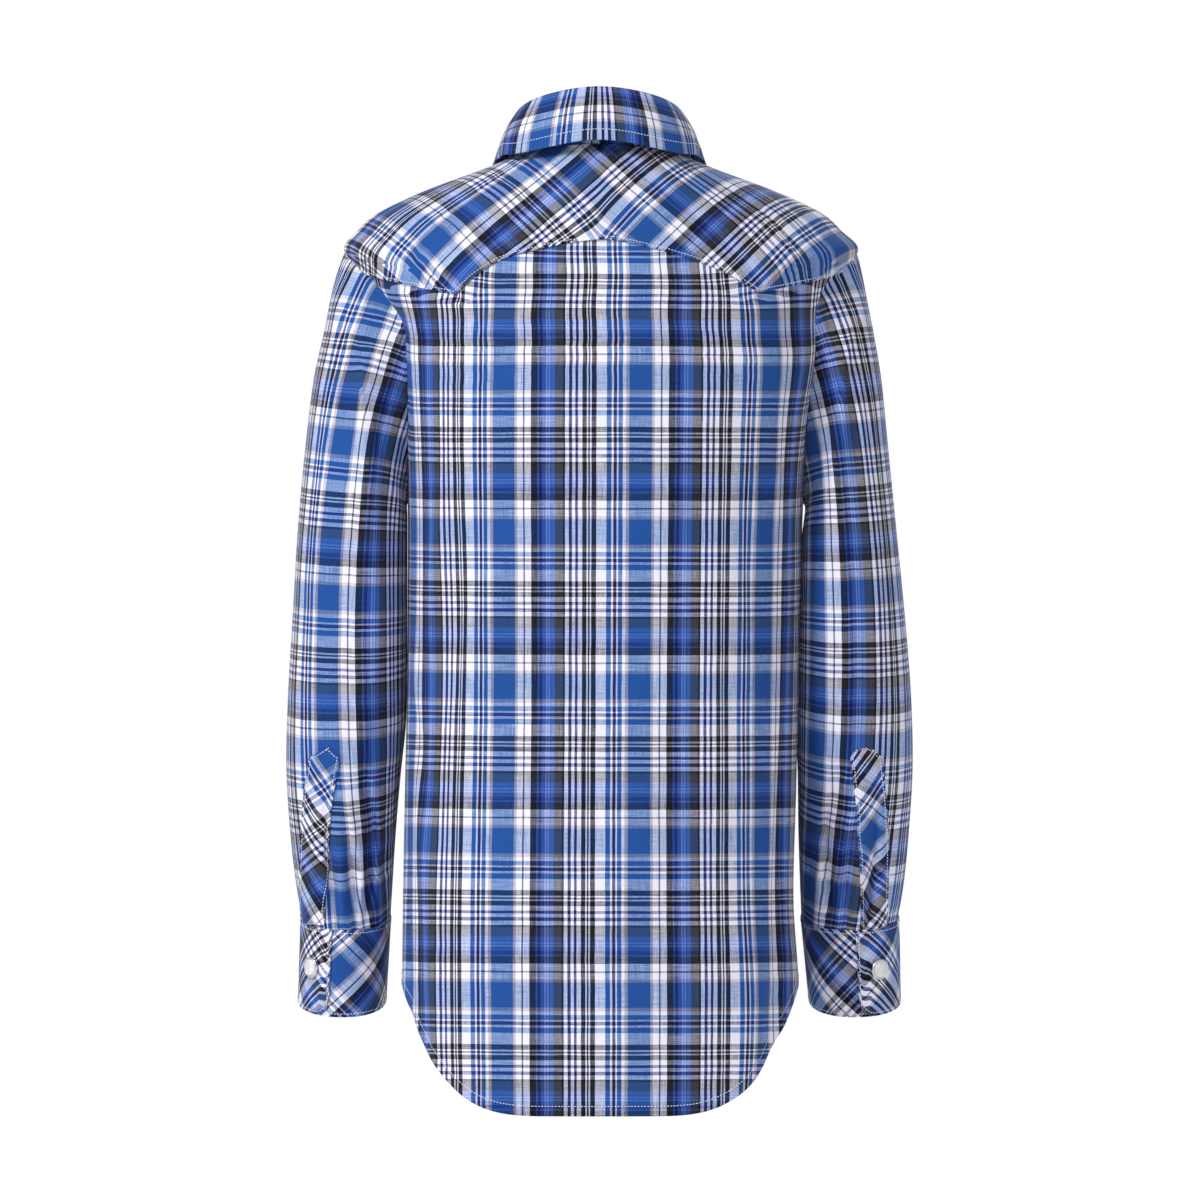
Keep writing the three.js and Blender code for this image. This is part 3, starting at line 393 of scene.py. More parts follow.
def back_edge(level):
    """Turn at which a back piece ends on the wearer's right, at heights of the side."""
    level = np.asarray(level, float)
    depth = row_at(ARMHOLE, "side", np.clip(level, ARMPIT, SHOULDER_TIP))["back"]
    depth = np.where(level >= SHOULDER_TIP, -SEAM_FORWARD, depth)
    behind = turn_of_depth(level, np.maximum(depth, 0), "deepBack")
    before = -turn_of_depth(level, np.maximum(-depth, 0), "deepFront")
    return np.where(level <= ARMPIT, 0, np.where(depth >= 0, behind, before))


def front_edge(level):
    """Turn before the side line at which a front piece ends, at heights of the side."""
    level = np.asarray(level, float)
    depth = row_at(ARMHOLE, "side", np.clip(level, ARMPIT, SHOULDER_TIP))["front"]
    depth = np.where(level >= SHOULDER_TIP, SEAM_FORWARD, depth)
    return np.where(level <= ARMPIT, 0, turn_of_depth(level, depth, "deepFront"))


def hem_level(turn, low):
    r = row_at(BODY, "side", HEM_SIDE)
    girth = 0.94 * math.pi * (r["half"] + r["deepBack"])
    from_side = np.abs(turn - np.round(turn * 2) / 2) * girth
    share = np.minimum(from_side / HEM_REACH, 1)
    return low + (HEM_SIDE - low) * np.cos(share * math.pi / 2) ** HEM_CURVE


def seen_from_behind(surface, x, z, turn, level, lowest, highest):
    """The places on a surface that are seen from behind at x and z, from a first guess."""
    guess = [np.asarray(v, float) for v in (x, z, turn, level)]
    x, z, t, l = (v.copy() for v in np.broadcast_arrays(*guess))
    small = 1e-3
    for _ in range(40):
        p = surface(t, l)
        a = (surface(t + small, l) - p) / small
        b = (surface(t, l + small) - p) / small
        det = a[..., 0] * b[..., 2] - b[..., 0] * a[..., 2]
        dx = x - p[..., 0]
        dz = z - p[..., 2]
        t += np.clip((dx * b[..., 2] - b[..., 0] * dz) / det, -0.03, 0.03)
        l += np.clip((a[..., 0] * dz - dx * a[..., 2]) / det, -20, 20)
        l = np.clip(l, lowest, highest)
    return t, l


# Form of the sleeves. side is 1 for the wearer's right and -1 for the left.


def ring_point(out, inn, mid, deep, tilt, turn):
    c = power(np.cos(2 * np.pi * turn), 2 / SLEEVE_SQUARE)
    s = power(np.sin(2 * np.pi * turn), 2 / SLEEVE_SQUARE)
    centre = (out + inn) / 2
    arm = (out - inn) / 2 * c[..., None]
    y = -deep / 2 * s
    return centre + arm + np.stack([0 * y, mid + y - centre[..., 1], tilt * y], -1)


def armhole_place(side, turn):
    """Place on the body of a place on the armhole: 0 shoulder, 0.25 back, 0.5 underarm."""
    behind = turn <= 0.5
    share = np.where(behind, turn * 2, (1 - turn) * 2)
    ease = np.cos(math.pi * lerp(ARMHOLE_EASE, 1 - ARMHOLE_EASE, share))
    down = 0.5 - 0.5 * ease / math.cos(math.pi * ARMHOLE_EASE)
    level = lerp(SHOULDER_TIP, ARMPIT, down)
    edge = np.where(behind, back_edge(level), -front_edge(level))
    return (edge if side > 0 else 0.5 - edge), level


def armhole_point(side, turn):
    """Points of the sleeve's end, which lies just under the edge of the armhole."""
    place, level = armhole_place(side, turn)
    normal = body_normal(place, level)
    after = body_point(*armhole_place(side, np.minimum(turn + 0.004, 0.9999)), creases=False)
    before = body_point(*armhole_place(side, np.maximum(turn - 0.004, 0.0001)), creases=False)
    inwards = unit(np.cross(after - before, normal))
    return body_point(place, level) + side * SLEEVE_TUCK * inwards - SLEEVE_UNDER * normal


def sleeve_point(side, turn, step, creases=True):
    """Points of a sleeve's outer face, at places round it and steps along it."""
    turn, step = np.broadcast_arrays(np.asarray(turn, float), np.asarray(step, float))
    wrapped = turn - np.floor(turn)
    r = row_at(SLEEVE, "step", np.maximum(step, 1))
    right = side > 0
    out = np.stack([side * (r["outR"] if right else r["outL"]), r["mid"], r["zOut"]], -1)
    inn = np.stack([side * (r["inR"] if right else r["inL"]), r["mid"], r["zIn"]], -1)
    fold = fold_sum(SLEEVE_FOLDS, wrapped, step) * (0.9 if right else 1)
    if creases:
        shift = 0.012 if right else 0
        fold = fold + fold_sum(SLEEVE_CREASES, wrapped + shift, step)
    p = ring_point(out, inn, r["mid"], r["deep"] + 2 * fold, r["tilt"], wrapped)
    fade = smoother(step / CAP_FADE)[..., None]
    p = lerp(armhole_point(side, wrapped), p, fade)
    clear = beside_body(p, side)
    return lerp(p, clear, smooth(step / 0.5)[..., None])


def beside_body(p, side):
    """Moves a sleeve's points outwards where they would reach into the side of the body."""
    r = row_at(BODY, "side", p[..., 2])
    share = 0
    for _ in range(3):
        behind = p[..., 1] < 0
        share = np.minimum(np.abs(p[..., 1]) / np.where(behind, r["deepBack"], r["deepFront"]), 1)
        drop = (r["side"] - np.where(behind, r["back"], r["front"])) * share**2
        r = row_at(BODY, "side", np.minimum(p[..., 2] + drop, SHOULDER_TIP))
    wide = r["half"] * (1 - share ** r["square"]) ** (1 / r["square"])
    edge = r["shift"] + side * (wide + BESIDE)
    q = p.copy()
    q[..., 0] = np.where(side * (p[..., 0] - edge) < 0, edge, p[..., 0])
    return q


# Shells of cloth over grids of points


def normals_of(points, round_):
    """The direction square to a grid of points at each of them."""
    if round_:
        wide = np.concatenate([points[:, -2:-1], points, points[:, 1:2]], 1)
        along = wide[:, 2:] - wide[:, :-2]
    else:
        along = np.gradient(points, axis=1)
    up = np.gradient(points, axis=0)
    return unit(np.cross(along, up))


def grid_lengths(points):
    """Distances along the rows and the columns of a grid of points."""
    across = np.linalg.norm(np.diff(points, axis=1), axis=-1)
    upwards = np.linalg.norm(np.diff(points, axis=0), axis=-1)
    return across, upwards


def eased(flat, points, rounds):
    """Eases a flat layout until its edges and diagonals have the lengths that they have on the form."""
    pairs = []
    rows, cols = points.shape[:2]
    for di, dj in ((0, 1), (1, 0), (1, 1), (1, -1)):
        a = (slice(0, rows - di), slice(max(-dj, 0), cols - max(dj, 0)))
        b = (slice(di, rows), slice(max(dj, 0), cols - max(-dj, 0)))
        pairs.append((a, b, np.linalg.norm(points[b] - points[a], axis=-1)))
    shared = np.zeros((rows, cols, 1))
    for a, b, _ in pairs:
        shared[a] += 1
        shared[b] += 1
    for _ in range(rounds):
        pull = np.zeros_like(flat)
        for a, b, length in pairs:
            d = flat[b] - flat[a]
            now = np.linalg.norm(d, axis=-1)
            push = (d * ((now - length) / np.maximum(now, 1e-6))[..., None]) * 0.5
            pull[a] += push
            pull[b] -= push
        flat = flat + pull * 1.9 / shared
    return flat


def resampled(values, rows, cols):
    """A grid of values spread over another count of rows and columns."""
    r = np.linspace(0, values.shape[0] - 1, rows)
    c = np.linspace(0, values.shape[1] - 1, cols)
    i = np.clip(r.astype(int), 0, values.shape[0] - 2)
    j = np.clip(c.astype(int), 0, values.shape[1] - 2)
    u = (r - i)[:, None, None]
    w = (c - j)[None, :, None]
    top = lerp(values[i][:, j], values[i][:, j + 1], w)
    low = lerp(values[i + 1][:, j], values[i + 1][:, j + 1], w)
    return lerp(top, low, u)


def flattened(points, middle):
    """Flat place of each point of a grid of cloth, with the middle column upright."""
    rows, cols = points.shape[:2]
    across, upwards = grid_lengths(points)
    u = np.concatenate([np.zeros((rows, 1)), np.cumsum(across, 1)], 1)
    u -= u[:, middle : middle + 1]
    v = np.concatenate([np.zeros((1, cols)), np.cumsum(upwards, 0)], 0)
    anchor = rows // 2
    v -= v[anchor : anchor + 1]
    flat = np.stack([u, v], -1)
    for size, rounds in ((9, 200), (17, 200), (33, 200)):
        m = min(size, rows)
        n = min(size, cols)
        coarse = resampled(points, m, n)
        easy = eased(resampled(flat, m, n), coarse, rounds)
        flat = flat + resampled(easy - resampled(flat, m, n), rows, cols)
    spine = flat[-1, middle] - flat[0, middle]
    lean = math.atan2(spine[0], spine[1])
    c, s = math.cos(lean), math.sin(lean)
    flat = flat - flat[anchor, middle]
    return np.stack([flat[..., 0] * c - flat[..., 1] * s, flat[..., 0] * s + flat[..., 1] * c], -1)


def strip_layout(points, middle):
    """Flat place of each point of a narrow strip, whose rows all lie straight on the cut."""
    across, upwards = grid_lengths(points)
    row = points.shape[0] // 2
    u = np.concatenate([[0], np.cumsum(across[row])])
    v = np.concatenate([[0], np.cumsum(upwards.mean(1))])
    return np.stack(np.meshgrid(u - u[middle], v - v[row]), -1)


def at_pin(cut, outer, square, pin, behind):
    """The place on the cut that is seen at the pin's x and z."""
    seen = square[..., 1] * (1 if behind else -1) < 0
    far = np.hypot(outer[..., 0] - pin[0], outer[..., 2] - pin[1]) + np.where(seen, 0, FAR)
    near = far < max(PIN_REACH, far.min() + 2)
    out = outer[..., 1] * (-1 if behind else 1)
    near &= out > out[near].max() - PIN_DEPTH
    basis = np.stack([np.ones(near.sum()), outer[near][:, 0] - pin[0], outer[near][:, 2] - pin[1]], 1)
    return np.linalg.lstsq(basis, cut[near], rcond=None)[0][0]


def new_object(name, data):
    """An object in the scene that holds a mesh, a light or a camera."""
    made = bpy.data.objects.new(name, data)
    bpy.context.collection.objects.link(made)
    return made


def new_piece(name, mesh):
    """An object of the shirt that holds a mesh."""
    piece = new_object(name, mesh)
    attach(piece, "root")
    return piece


def cloth(node, points, slot, flip=False, round_=False, lift=0, thick=CLOTH, turn=0, behind=True,
          turned_over=False, strip=False):
    """A shell of cloth over a grid of points in rows and columns, with its cut as its UV map.

    It stands for a node. lift moves its outer face off the points, and thick is its thickness,
    at each point. turn is the grain's slant on the cut in degrees. behind says whether the
    node's pin is seen from behind or from the front.
    """
    rows, cols = points.shape[:2]
    middle = cols // 2
    flat = strip_layout(points, middle) if strip else flattened(points, middle)
    if flip != turned_over:
        flat[..., 0] *= -1
    square = normals_of(points, round_) * (-1 if flip else 1)
    lift = np.broadcast_to(np.asarray(lift, float), (rows, cols))[..., None]
    thick = np.broadcast_to(np.asarray(thick, float), (rows, cols))[..., None]
    outer = points + square * lift
    inner = outer - square * thick
    used = cols - 1 if round_ else cols
    corners = np.concatenate([outer[:, :used].reshape(-1, 3), inner[:, :used].reshape(-1, 3)]) * MM
    angle = math.radians(turn)
    u = flat[..., 0] * math.cos(angle) - flat[..., 1] * math.sin(angle)
    v = flat[..., 0] * math.sin(angle) + flat[..., 1] * math.cos(angle)
    cut = np.stack([u, v], -1)
    if node in PIN:
        cut += CROSSING - at_pin(cut, outer, square, PIN[node], behind)
    cut *= MM

    i, j = (a.ravel() for a in np.meshgrid(np.arange(rows - 1), np.arange(cols - 1), indexing="ij"))
    around = lambda di, dj: ((i + di) * used + (j + dj) % used, (i + di, j + dj))
    ring = [around(0, 0), around(0, 1), around(1, 1), around(1, 0)]
    if flip:
        ring = [ring[0], ring[3], ring[2], ring[1]]
    layer = rows * used
    faces = [np.stack([r[0] for r in ring], 1), np.stack([r[0] + layer for r in ring[::-1]], 1)]
    places = [np.stack([cut[r[1]] for r in ring], 1), np.stack([cut[r[1]] for r in ring[::-1]], 1)]

    def rim(a, b, cut_a, cut_b):
        quad = np.stack([b, a, a + layer, b + layer], 1)
        where = np.stack([cut_b, cut_a, cut_a, cut_b], 1)
        if flip:
            quad = quad[:, ::-1]
            where = where[:, ::-1]
        faces.append(quad)
        places.append(where)

    k = np.arange(cols - 1)
    for row, ahead in ((0, True), (rows - 1, False)):
        a, b = (k, k + 1) if ahead else (k + 1, k)
        rim(row * used + a % used, row * used + b % used, cut[row, a], cut[row, b])
    if not round_:
        k = np.arange(rows - 1)
        for col, ahead in ((0, False), (cols - 1, True)):
            a, b = (k, k + 1) if ahead else (k + 1, k)
            rim(a * used + col, b * used + col, cut[a, col], cut[b, col])
    faces = np.concatenate(faces)
    places = np.concatenate(places)

    mesh = bpy.data.meshes.new(f"{node}_cloth")
    mesh.from_pydata(corners.tolist(), [], faces.tolist())
    mesh.uv_layers.new(name="cut")
    mesh.uv_layers["cut"].data.foreach_set("uv", places.reshape(-1).astype(np.float32))
    mesh.polygons.foreach_set("use_smooth", np.ones(len(faces), bool))
    mesh.materials.append(PLAIDS[slot])
    mesh.validate()
    mesh.update()
    mesh.set_sharp_from_angle(angle=math.radians(60))
    piece = new_piece(f"{node}_cloth", mesh)
    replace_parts(piece, node)
    return {"outer": outer, "square": square}


# Stitching


def at_lengths(at, along, values):
    """Values with three columns at given lengths, from their own lengths along a line."""
    return np.stack([np.interp(at, along, values[:, a]) for a in range(3)], 1)


def resampled_line(line, pitch):
    """Points at an even pitch along a line, with the direction of the line at each."""
    steps = np.linalg.norm(np.diff(line, axis=0), axis=1)
    along = np.concatenate([[0], np.cumsum(steps)])
    count = max(int(along[-1] / pitch), 1)
    at = (np.arange(count) + 0.5) * along[-1] / count
    ahead = at_lengths(np.minimum(at + 0.5, along[-1]), along, line)
    behind = at_lengths(np.maximum(at - 0.5, 0), along, line)
    return at_lengths(at, along, line), unit(ahead - behind), at, along


def inset_line(shell, edge, distance):
    """A line on a shell at a distance from one of its edges, with the way out at each point."""
    outer = shell["outer"]
    square = shell["square"]
    if edge in ("left", "right"):
        outer = outer.transpose(1, 0, 2)
        square = square.transpose(1, 0, 2)
    if edge in ("high", "right"):
        outer = outer[::-1]
        square = square[::-1]
    rim = np.gradient(outer[0], axis=0)
    away = outer[min(3, len(outer) - 1)] - outer[0]
    slant = np.linalg.norm(np.cross(unit(rim), unit(away)), axis=-1)
    reach = distance / np.clip(slant, 0.45, 1)
    steps = np.linalg.norm(np.diff(outer, axis=0), axis=-1)
    along = np.concatenate([np.zeros((1, outer.shape[1])), np.cumsum(steps, 0)], 0)
    line = np.empty((outer.shape[1], 3))
    out = np.empty_like(line)
    for k in range(outer.shape[1]):
        for a in range(3):
            line[k, a] = np.interp(reach[k], along[:, k], outer[:, k, a])
            out[k, a] = np.interp(reach[k], along[:, k], square[:, k, a])
    return line, unit(out)


def stitches(name, lines):
    """Rows of short raised stitches along lines, as one piece."""
    shape = np.array([[-1, 0, 0], [-0.55, 1, 0.15], [-0.55, 0, 1], [-0.55, -1, 0.15],
                      [0.55, 1, 0.15], [0.55, 0, 1], [0.55, -1, 0.15], [1, 0, 0]], float)
    shape = shape * [STITCH_LONG / 2, STITCH_WIDE / 2, STITCH_HIGH] + [0, 0, STITCH_CLEAR]
    sides = [(0, 2, 1), (0, 3, 2), (0, 1, 3), (1, 2, 5, 4), (2, 3, 6, 5), (3, 1, 4, 6),
             (7, 4, 5), (7, 5, 6), (7, 6, 4)]
    corners, faces = [], []
    for line, out in lines:
        place, ahead, at, along = resampled_line(line, STITCH_PITCH)
        up = unit(at_lengths(at, along, out))
        across = unit(np.cross(up, ahead))
        for p, t, s, n in zip(place, ahead, across, up):
            first = len(corners)
            stitch = p + shape[:, :1] * t + shape[:, 1:2] * s + shape[:, 2:] * n
            corners.extend((stitch * MM).tolist())
            faces.extend(tuple(first + i for i in f) for f in sides)
    mesh = bpy.data.meshes.new(name)
    mesh.from_pydata(corners, [], faces)
    mesh.materials.append(thread)
    mesh.update()
    new_piece(name, mesh)


# Materials


def new_material(name):
    material = bpy.data.materials.new(name)
    material.use_nodes = True
    nodes = material.node_tree.nodes
    return material, nodes, material.node_tree.links, nodes["Principled BSDF"]


def math_node(nodes, links, operation, a, b=None, clamp=False):
    node = nodes.new("ShaderNodeMath")
    node.operation = operation
    node.use_clamp = clamp
    for socket, value in ((node.inputs[0], a), (node.inputs[1], b)):
        if value is None:
            continue
        if isinstance(value, (int, float)):
            socket.default_value = value
        else:
            links.new(value, socket)
    return node.outputs[0]


def colour_mix(nodes, links, share, a, b):
    """A mix of two colours, each a colour or a socket."""
    node = nodes.new("ShaderNodeMix")
    node.data_type = "RGBA"
    links.new(share, node.inputs[0])
    for socket, colour in ((node.inputs[6], a), (node.inputs[7], b)):
        if isinstance(colour, tuple):
            socket.default_value = (*colour, 1)
        else:
            links.new(colour, socket)
    return node.outputs[2]


def map_range(nodes, links, value, low, high, start=0.0, end=1.0):
    """A value between start and end, moved to between low and high."""
    node = nodes.new("ShaderNodeMapRange")
    for name, number in (("From Min", start), ("From Max", end), ("To Min", low), ("To Max", high)):
        node.inputs[name].default_value = number
    links.new(value, node.inputs["Value"])
    return node.outputs[0]


def stripes(nodes, links, coordinate, repeat):
    """The sett's colour along one coordinate in metres, as two ramps of hard stops."""
    total = sum(width for width, _ in SETT)
    place = math_node(nodes, links, "DIVIDE", coordinate, repeat * MM)
    place = math_node(nodes, links, "FRACT", place)
    ramps = []
    half = len(SETT) // 2
    starts = np.cumsum([0] + [width for width, _ in SETT]) / total
    for low, high in ((0, half), (half, len(SETT))):
        ramp = nodes.new("ShaderNodeValToRGB")
        ramp.color_ramp.interpolation = "CONSTANT"
        links.new(place, ramp.inputs[0])
        stops = ramp.color_ramp.elements
        while len(stops) < high - low:
            stops.new(1.0)
        for k in range(low, high):
            stops[k - low].position = float(starts[k]) if k > low else 0.0
            stops[k - low].color = (*SETT[k][1], 1)
        ramps.append(ramp.outputs[0])
    later = math_node(nodes, links, "GREATER_THAN", place, float(starts[half]))
    return colour_mix(nodes, links, later, ramps[0], ramps[1])


def noise_node(nodes, links, vector, scale, detail=2.0, rough=0.5):
    node = nodes.new("ShaderNodeTexNoise")
    node.inputs["Scale"].default_value = scale
    node.inputs["Detail"].default_value = detail
    node.inputs["Roughness"].default_value = rough
    links.new(vector, node.inputs["Vector"])
    return node.outputs[0]


def scaled(nodes, links, vector, x, y):
    node = nodes.new("ShaderNodeMapping")
    node.inputs["Scale"].default_value = (x, y, 1)
    links.new(vector, node.inputs["Vector"])
    return node.outputs[0]


def plaid_material(name):
    """Yarn-dyed cotton: warp and weft stripes that cross, with its weave, slubs and soft bump."""
    material, nodes, links, shader = new_material(name)
    uv = nodes.new("ShaderNodeUVMap")
    uv.uv_map = "cut"
    wobble = nodes.new("ShaderNodeTexNoise")
    wobble.inputs["Scale"].default_value = 55
    links.new(uv.outputs[0], wobble.inputs["Vector"])
    centred = nodes.new("ShaderNodeVectorMath")
    centred.operation = "MULTIPLY_ADD"
    links.new(wobble.outputs[1], centred.inputs[0])
    centred.inputs[1].default_value = (0.0006, 0.0006, 0)
    centred.inputs[2].default_value = (-0.0003, -0.0003, 0)
    moved = nodes.new("ShaderNodeVectorMath")
    moved.operation = "ADD"
    links.new(uv.outputs[0], moved.inputs[0])
    links.new(centred.outputs[0], moved.inputs[1])
    split = nodes.new("ShaderNodeSeparateXYZ")
    links.new(moved.outputs[0], split.inputs[0])
    warp = stripes(nodes, links, split.outputs[0], WARP_REPEAT)
    weft = stripes(nodes, links, split.outputs[1], WEFT_REPEAT)

    over = []
    for socket in split.outputs[:2]:
        turned = math_node(nodes, links, "MULTIPLY", socket, 2 * math.pi / (YARN * MM))
        over.append(math_node(nodes, links, "SINE", turned))
    weave = math_node(nodes, links, "MULTIPLY", over[0], over[1])
    slub_warp = noise_node(nodes, links, scaled(nodes, links, uv.outputs[0], 1400, 60), 1.0)
    slub_weft = noise_node(nodes, links, scaled(nodes, links, uv.outputs[0], 60, 1400), 1.0)
    uneven = math_node(nodes, links, "SUBTRACT", slub_warp, slub_weft)
    share = math_node(nodes, links, "MULTIPLY", weave, 0.22)
    share = math_node(nodes, links, "ADD", share, WEFT_SHARE)
    drift = math_node(nodes, links, "MULTIPLY", uneven, 0.55)
    share = math_node(nodes, links, "ADD", share, drift, clamp=True)
    dyed = colour_mix(nodes, links, share, warp, weft)

    patch = noise_node(nodes, links, uv.outputs[0], 24, 3.0)
    tone = map_range(nodes, links, patch, 0.93, 1.05, 0.3, 0.7)
    shade = nodes.new("ShaderNodeVectorMath")
    shade.operation = "SCALE"
    linear = nodes.new("ShaderNodeGamma")
    linear.inputs["Gamma"].default_value = 2.2
    links.new(dyed, linear.inputs["Color"])
    links.new(linear.outputs[0], shade.inputs[0])
    links.new(tone, shade.inputs["Scale"])
    links.new(shade.outputs[0], shader.inputs["Base Color"])

    relief = math_node(nodes, links, "ADD", slub_warp, slub_weft)
    relief = math_node(nodes, links, "ADD", relief, math_node(nodes, links, "MULTIPLY", weave, 0.3))
    bump = nodes.new("ShaderNodeBump")
    bump.inputs["Strength"].default_value = 0.22
    bump.inputs["Distance"].default_value = 0.0003
    links.new(relief, bump.inputs["Height"])
    links.new(bump.outputs[0], shader.inputs["Normal"])
    links.new(map_range(nodes, links, slub_weft, 0.74, 0.9), shader.inputs["Roughness"])
    shader.inputs["Sheen Weight"].default_value = 0.12
    shader.inputs["Sheen Roughness"].default_value = 0.4
    shader.inputs["Specular IOR Level"].default_value = 0.25
    return material


def thread_material(name, color):
    material, nodes, links, shader = new_material(name)
    where = nodes.new("ShaderNodeTexCoord")
    fine = noise_node(nodes, links, where.outputs["Object"], 900, 2.0)
    tint = colour_mix(nodes, links, fine, tuple(c * 0.8 for c in color), color)
    links.new(tint, shader.inputs["Base Color"])
    shader.inputs["Roughness"].default_value = 0.55
    return material


def pearl_material(name):
    material, nodes, links, shader = new_material(name)
    where = nodes.new("ShaderNodeTexCoord")
    swirl = noise_node(nodes, links, where.outputs["Object"], 260, 4.0, 0.6)
    ramp = nodes.new("ShaderNodeValToRGB")
    ramp.color_ramp.elements[0].position = 0.3
    ramp.color_ramp.elements[0].color = (0.62, 0.63, 0.68, 1)
    ramp.color_ramp.elements[1].position = 0.7
    ramp.color_ramp.elements[1].color = (0.86, 0.86, 0.88, 1)
    links.new(swirl, ramp.inputs[0])
    links.new(ramp.outputs[0], shader.inputs["Base Color"])
    shader.inputs["Roughness"].default_value = 0.22
    shader.inputs["Coat Weight"].default_value = 0.6
    shader.inputs["Coat Roughness"].default_value = 0.08
    return material


def metal_material(name):
    material, nodes, links, shader = new_material(name)
    where = nodes.new("ShaderNodeTexCoord")
    wear = noise_node(nodes, links, where.outputs["Object"], 700, 2.0)
    links.new(map_range(nodes, links, wear, 0.18, 0.36), shader.inputs["Roughness"])
    tint = colour_mix(nodes, links, wear, (0.62, 0.62, 0.65), (0.8, 0.8, 0.82))
    links.new(tint, shader.inputs["Base Color"])
    shader.inputs["Metallic"].default_value = 1
    return material


PLAIDS = {slot: plaid_material(slot) for slot in ("plaid_straight", "plaid_bias")}
thread = thread_material("white_thread", (0.84, 0.85, 0.93))
pearl = pearl_material("snap_pearl")
silver = metal_material("snap_silver")


# Back panel and back yoke

COLUMNS_FINE = 170


def yoke_columns():
    """Share of the way across and height of the yoke's edge at its corners."""
    across = np.array([r["across"] for r in YOKE_EDGE])
    height = np.array([r["height"] for r in YOKE_EDGE])
    guess = np.linspace(0.02, 0.48, len(YOKE_EDGE))
    plain = lambda t, l: body_point(t, l, creases=False)
    turn, level = seen_from_behind(plain, across, height, guess, height + 12, ARMPIT, NECK)
    turn[0] = back_edge(CORNER_LEVEL)
    turn[-1] = 0.5 - back_edge(CORNER_LEVEL)
    level[0] = level[-1] = CORNER_LEVEL
    share = (turn - turn[0]) / (turn[-1] - turn[0])
    return share, level


def yoke_level(share):
    """Height of the yoke's edge: smooth between its two points, and straight beyond them."""
    corner, level = yoke_columns()
    first, last = YOKE_POINTS
    straight = np.interp(share, corner, level)
    run = [dict(share=s, level=v) for s, v in zip(corner[first : last + 1], level[first : last + 1])]
    curved = row_at(run, "share", np.clip(share, corner[first], corner[last]))["level"]
    return np.where((share > corner[first]) & (share < corner[last]), curved, straight)


def back_point(share, side_level, level, inset=0.0):
    start = back_edge(side_level) + inset
    return body_point(lerp(start, 0.5 - start, share), level)


yoke_tips = yoke_columns()[0][list(YOKE_POINTS)]
share_back = np.unique(np.concatenate([np.linspace(0, 1, COLUMNS_FINE), yoke_tips]))
edge_level = yoke_level(share_back)


def hem_rows(turn, low):
    """Rows of a panel from its curved hem up to where they run straight across."""
    start = hem_level(turn, low)
    shares = np.concatenate([np.linspace(0, 0.16, 7)[:-1], np.linspace(0.16, 1, 16)])
    return [body_point(turn, lerp(start, HEM_STRAIGHT, v)) for v in shares]


def back_rows():
    """Rows of the back, from the hem to just under the yoke."""
    rows = hem_rows(lerp(0, 0.5, share_back), HEM_LOW)
    for level in np.linspace(HEM_STRAIGHT, ARMPIT, 110)[1:]:
        rows.append(back_point(share_back, level, level))
    for v in np.linspace(0, 1, 60)[1:]:
        rows.append(back_point(share_back, lerp(ARMPIT, CORNER_LEVEL, v), lerp(ARMPIT, edge_level, v)))
    for v in (0.04, 0.08, 0.12):
        rows.append(back_point(share_back, lerp(CORNER_LEVEL, NECK, v), lerp(edge_level, NECK, v)))
    return np.array(rows)


def edge_distance(points, edge):
    """Distance of each point of a grid from one of its edges, along the grid's lines."""
    axis = 0 if edge in ("low", "high") else 1
    steps = np.linalg.norm(np.diff(points, axis=axis), axis=-1)
    if edge in ("high", "right"):
        steps = np.flip(steps, axis)
    total = np.cumsum(steps, axis)
    start = np.zeros_like(np.take(total, [0], axis))
    total = np.concatenate([start, total], axis)
    return np.flip(total, axis) if edge in ("high", "right") else total


def turned_edge(points, width):
    """Extra thickness along a lower edge that is turned under and sewn."""
    return FOLDED * (1 - smooth((edge_distance(points, "low") - width) / TURN_FADE))


def pucker(points, width, seed):
    """Fine gathers that the stitching draws along a lower edge."""
    far = edge_distance(points, "low")
    along = edge_distance(points, "left")
    return 0.22 * ripple(along, far * 0.25, 8.5, seed) * np.exp(-(((far - width) / 5.0) ** 2))


points = back_rows()
hem = turned_edge(points, HEM_TURN)
back = cloth(
    "back_panel", points, "plaid_straight", flip=True,
    lift=hem * HEM_PROUD + pucker(points, HEM_TURN, 3), thick=CLOTH + hem,
)

rows_yoke = np.concatenate([np.linspace(0, 0.191, 16)[:-1], np.linspace(0.191, 1, 46)])
points = np.array([
    back_point(share_back, lerp(CORNER_LEVEL, NECK, v), lerp(edge_level, NECK, v), YOKE_INSET)
    for v in rows_yoke
])
fold = turned_edge(points, YOKE_TURN)
yoke = cloth(
    "back_yoke", points, "plaid_bias", flip=True,
    lift=YOKE_LIFT + fold + pucker(points, YOKE_PUCKER, 5), thick=CLOTH + 1.6 * fold,
    turn=45,
)

# Fronts, front yokes and placket


def front_turn(level, across):
    r = row_at(BODY, "side", level)
    c = power((across - r["shift"]) / r["half"], r["square"] / 2)
    return 1 - np.arccos(c) / (2 * np.pi)


def front_point(side, share, side_level, level, across):
    edge = front_edge(side_level)
    start = 1 - edge if side > 0 else 0.5 + edge
    return body_point(lerp(start, front_turn(level, across), share), level)


share_front = np.linspace(0, 1, 91)
FRONT_CORNER = YOKE_FRONT_EDGE[0]["level"]
edge_share, edge_height = ([r[column] for r in YOKE_FRONT_EDGE] for column in ("share", "level"))
front_low = np.interp(share_front, edge_share, edge_height)


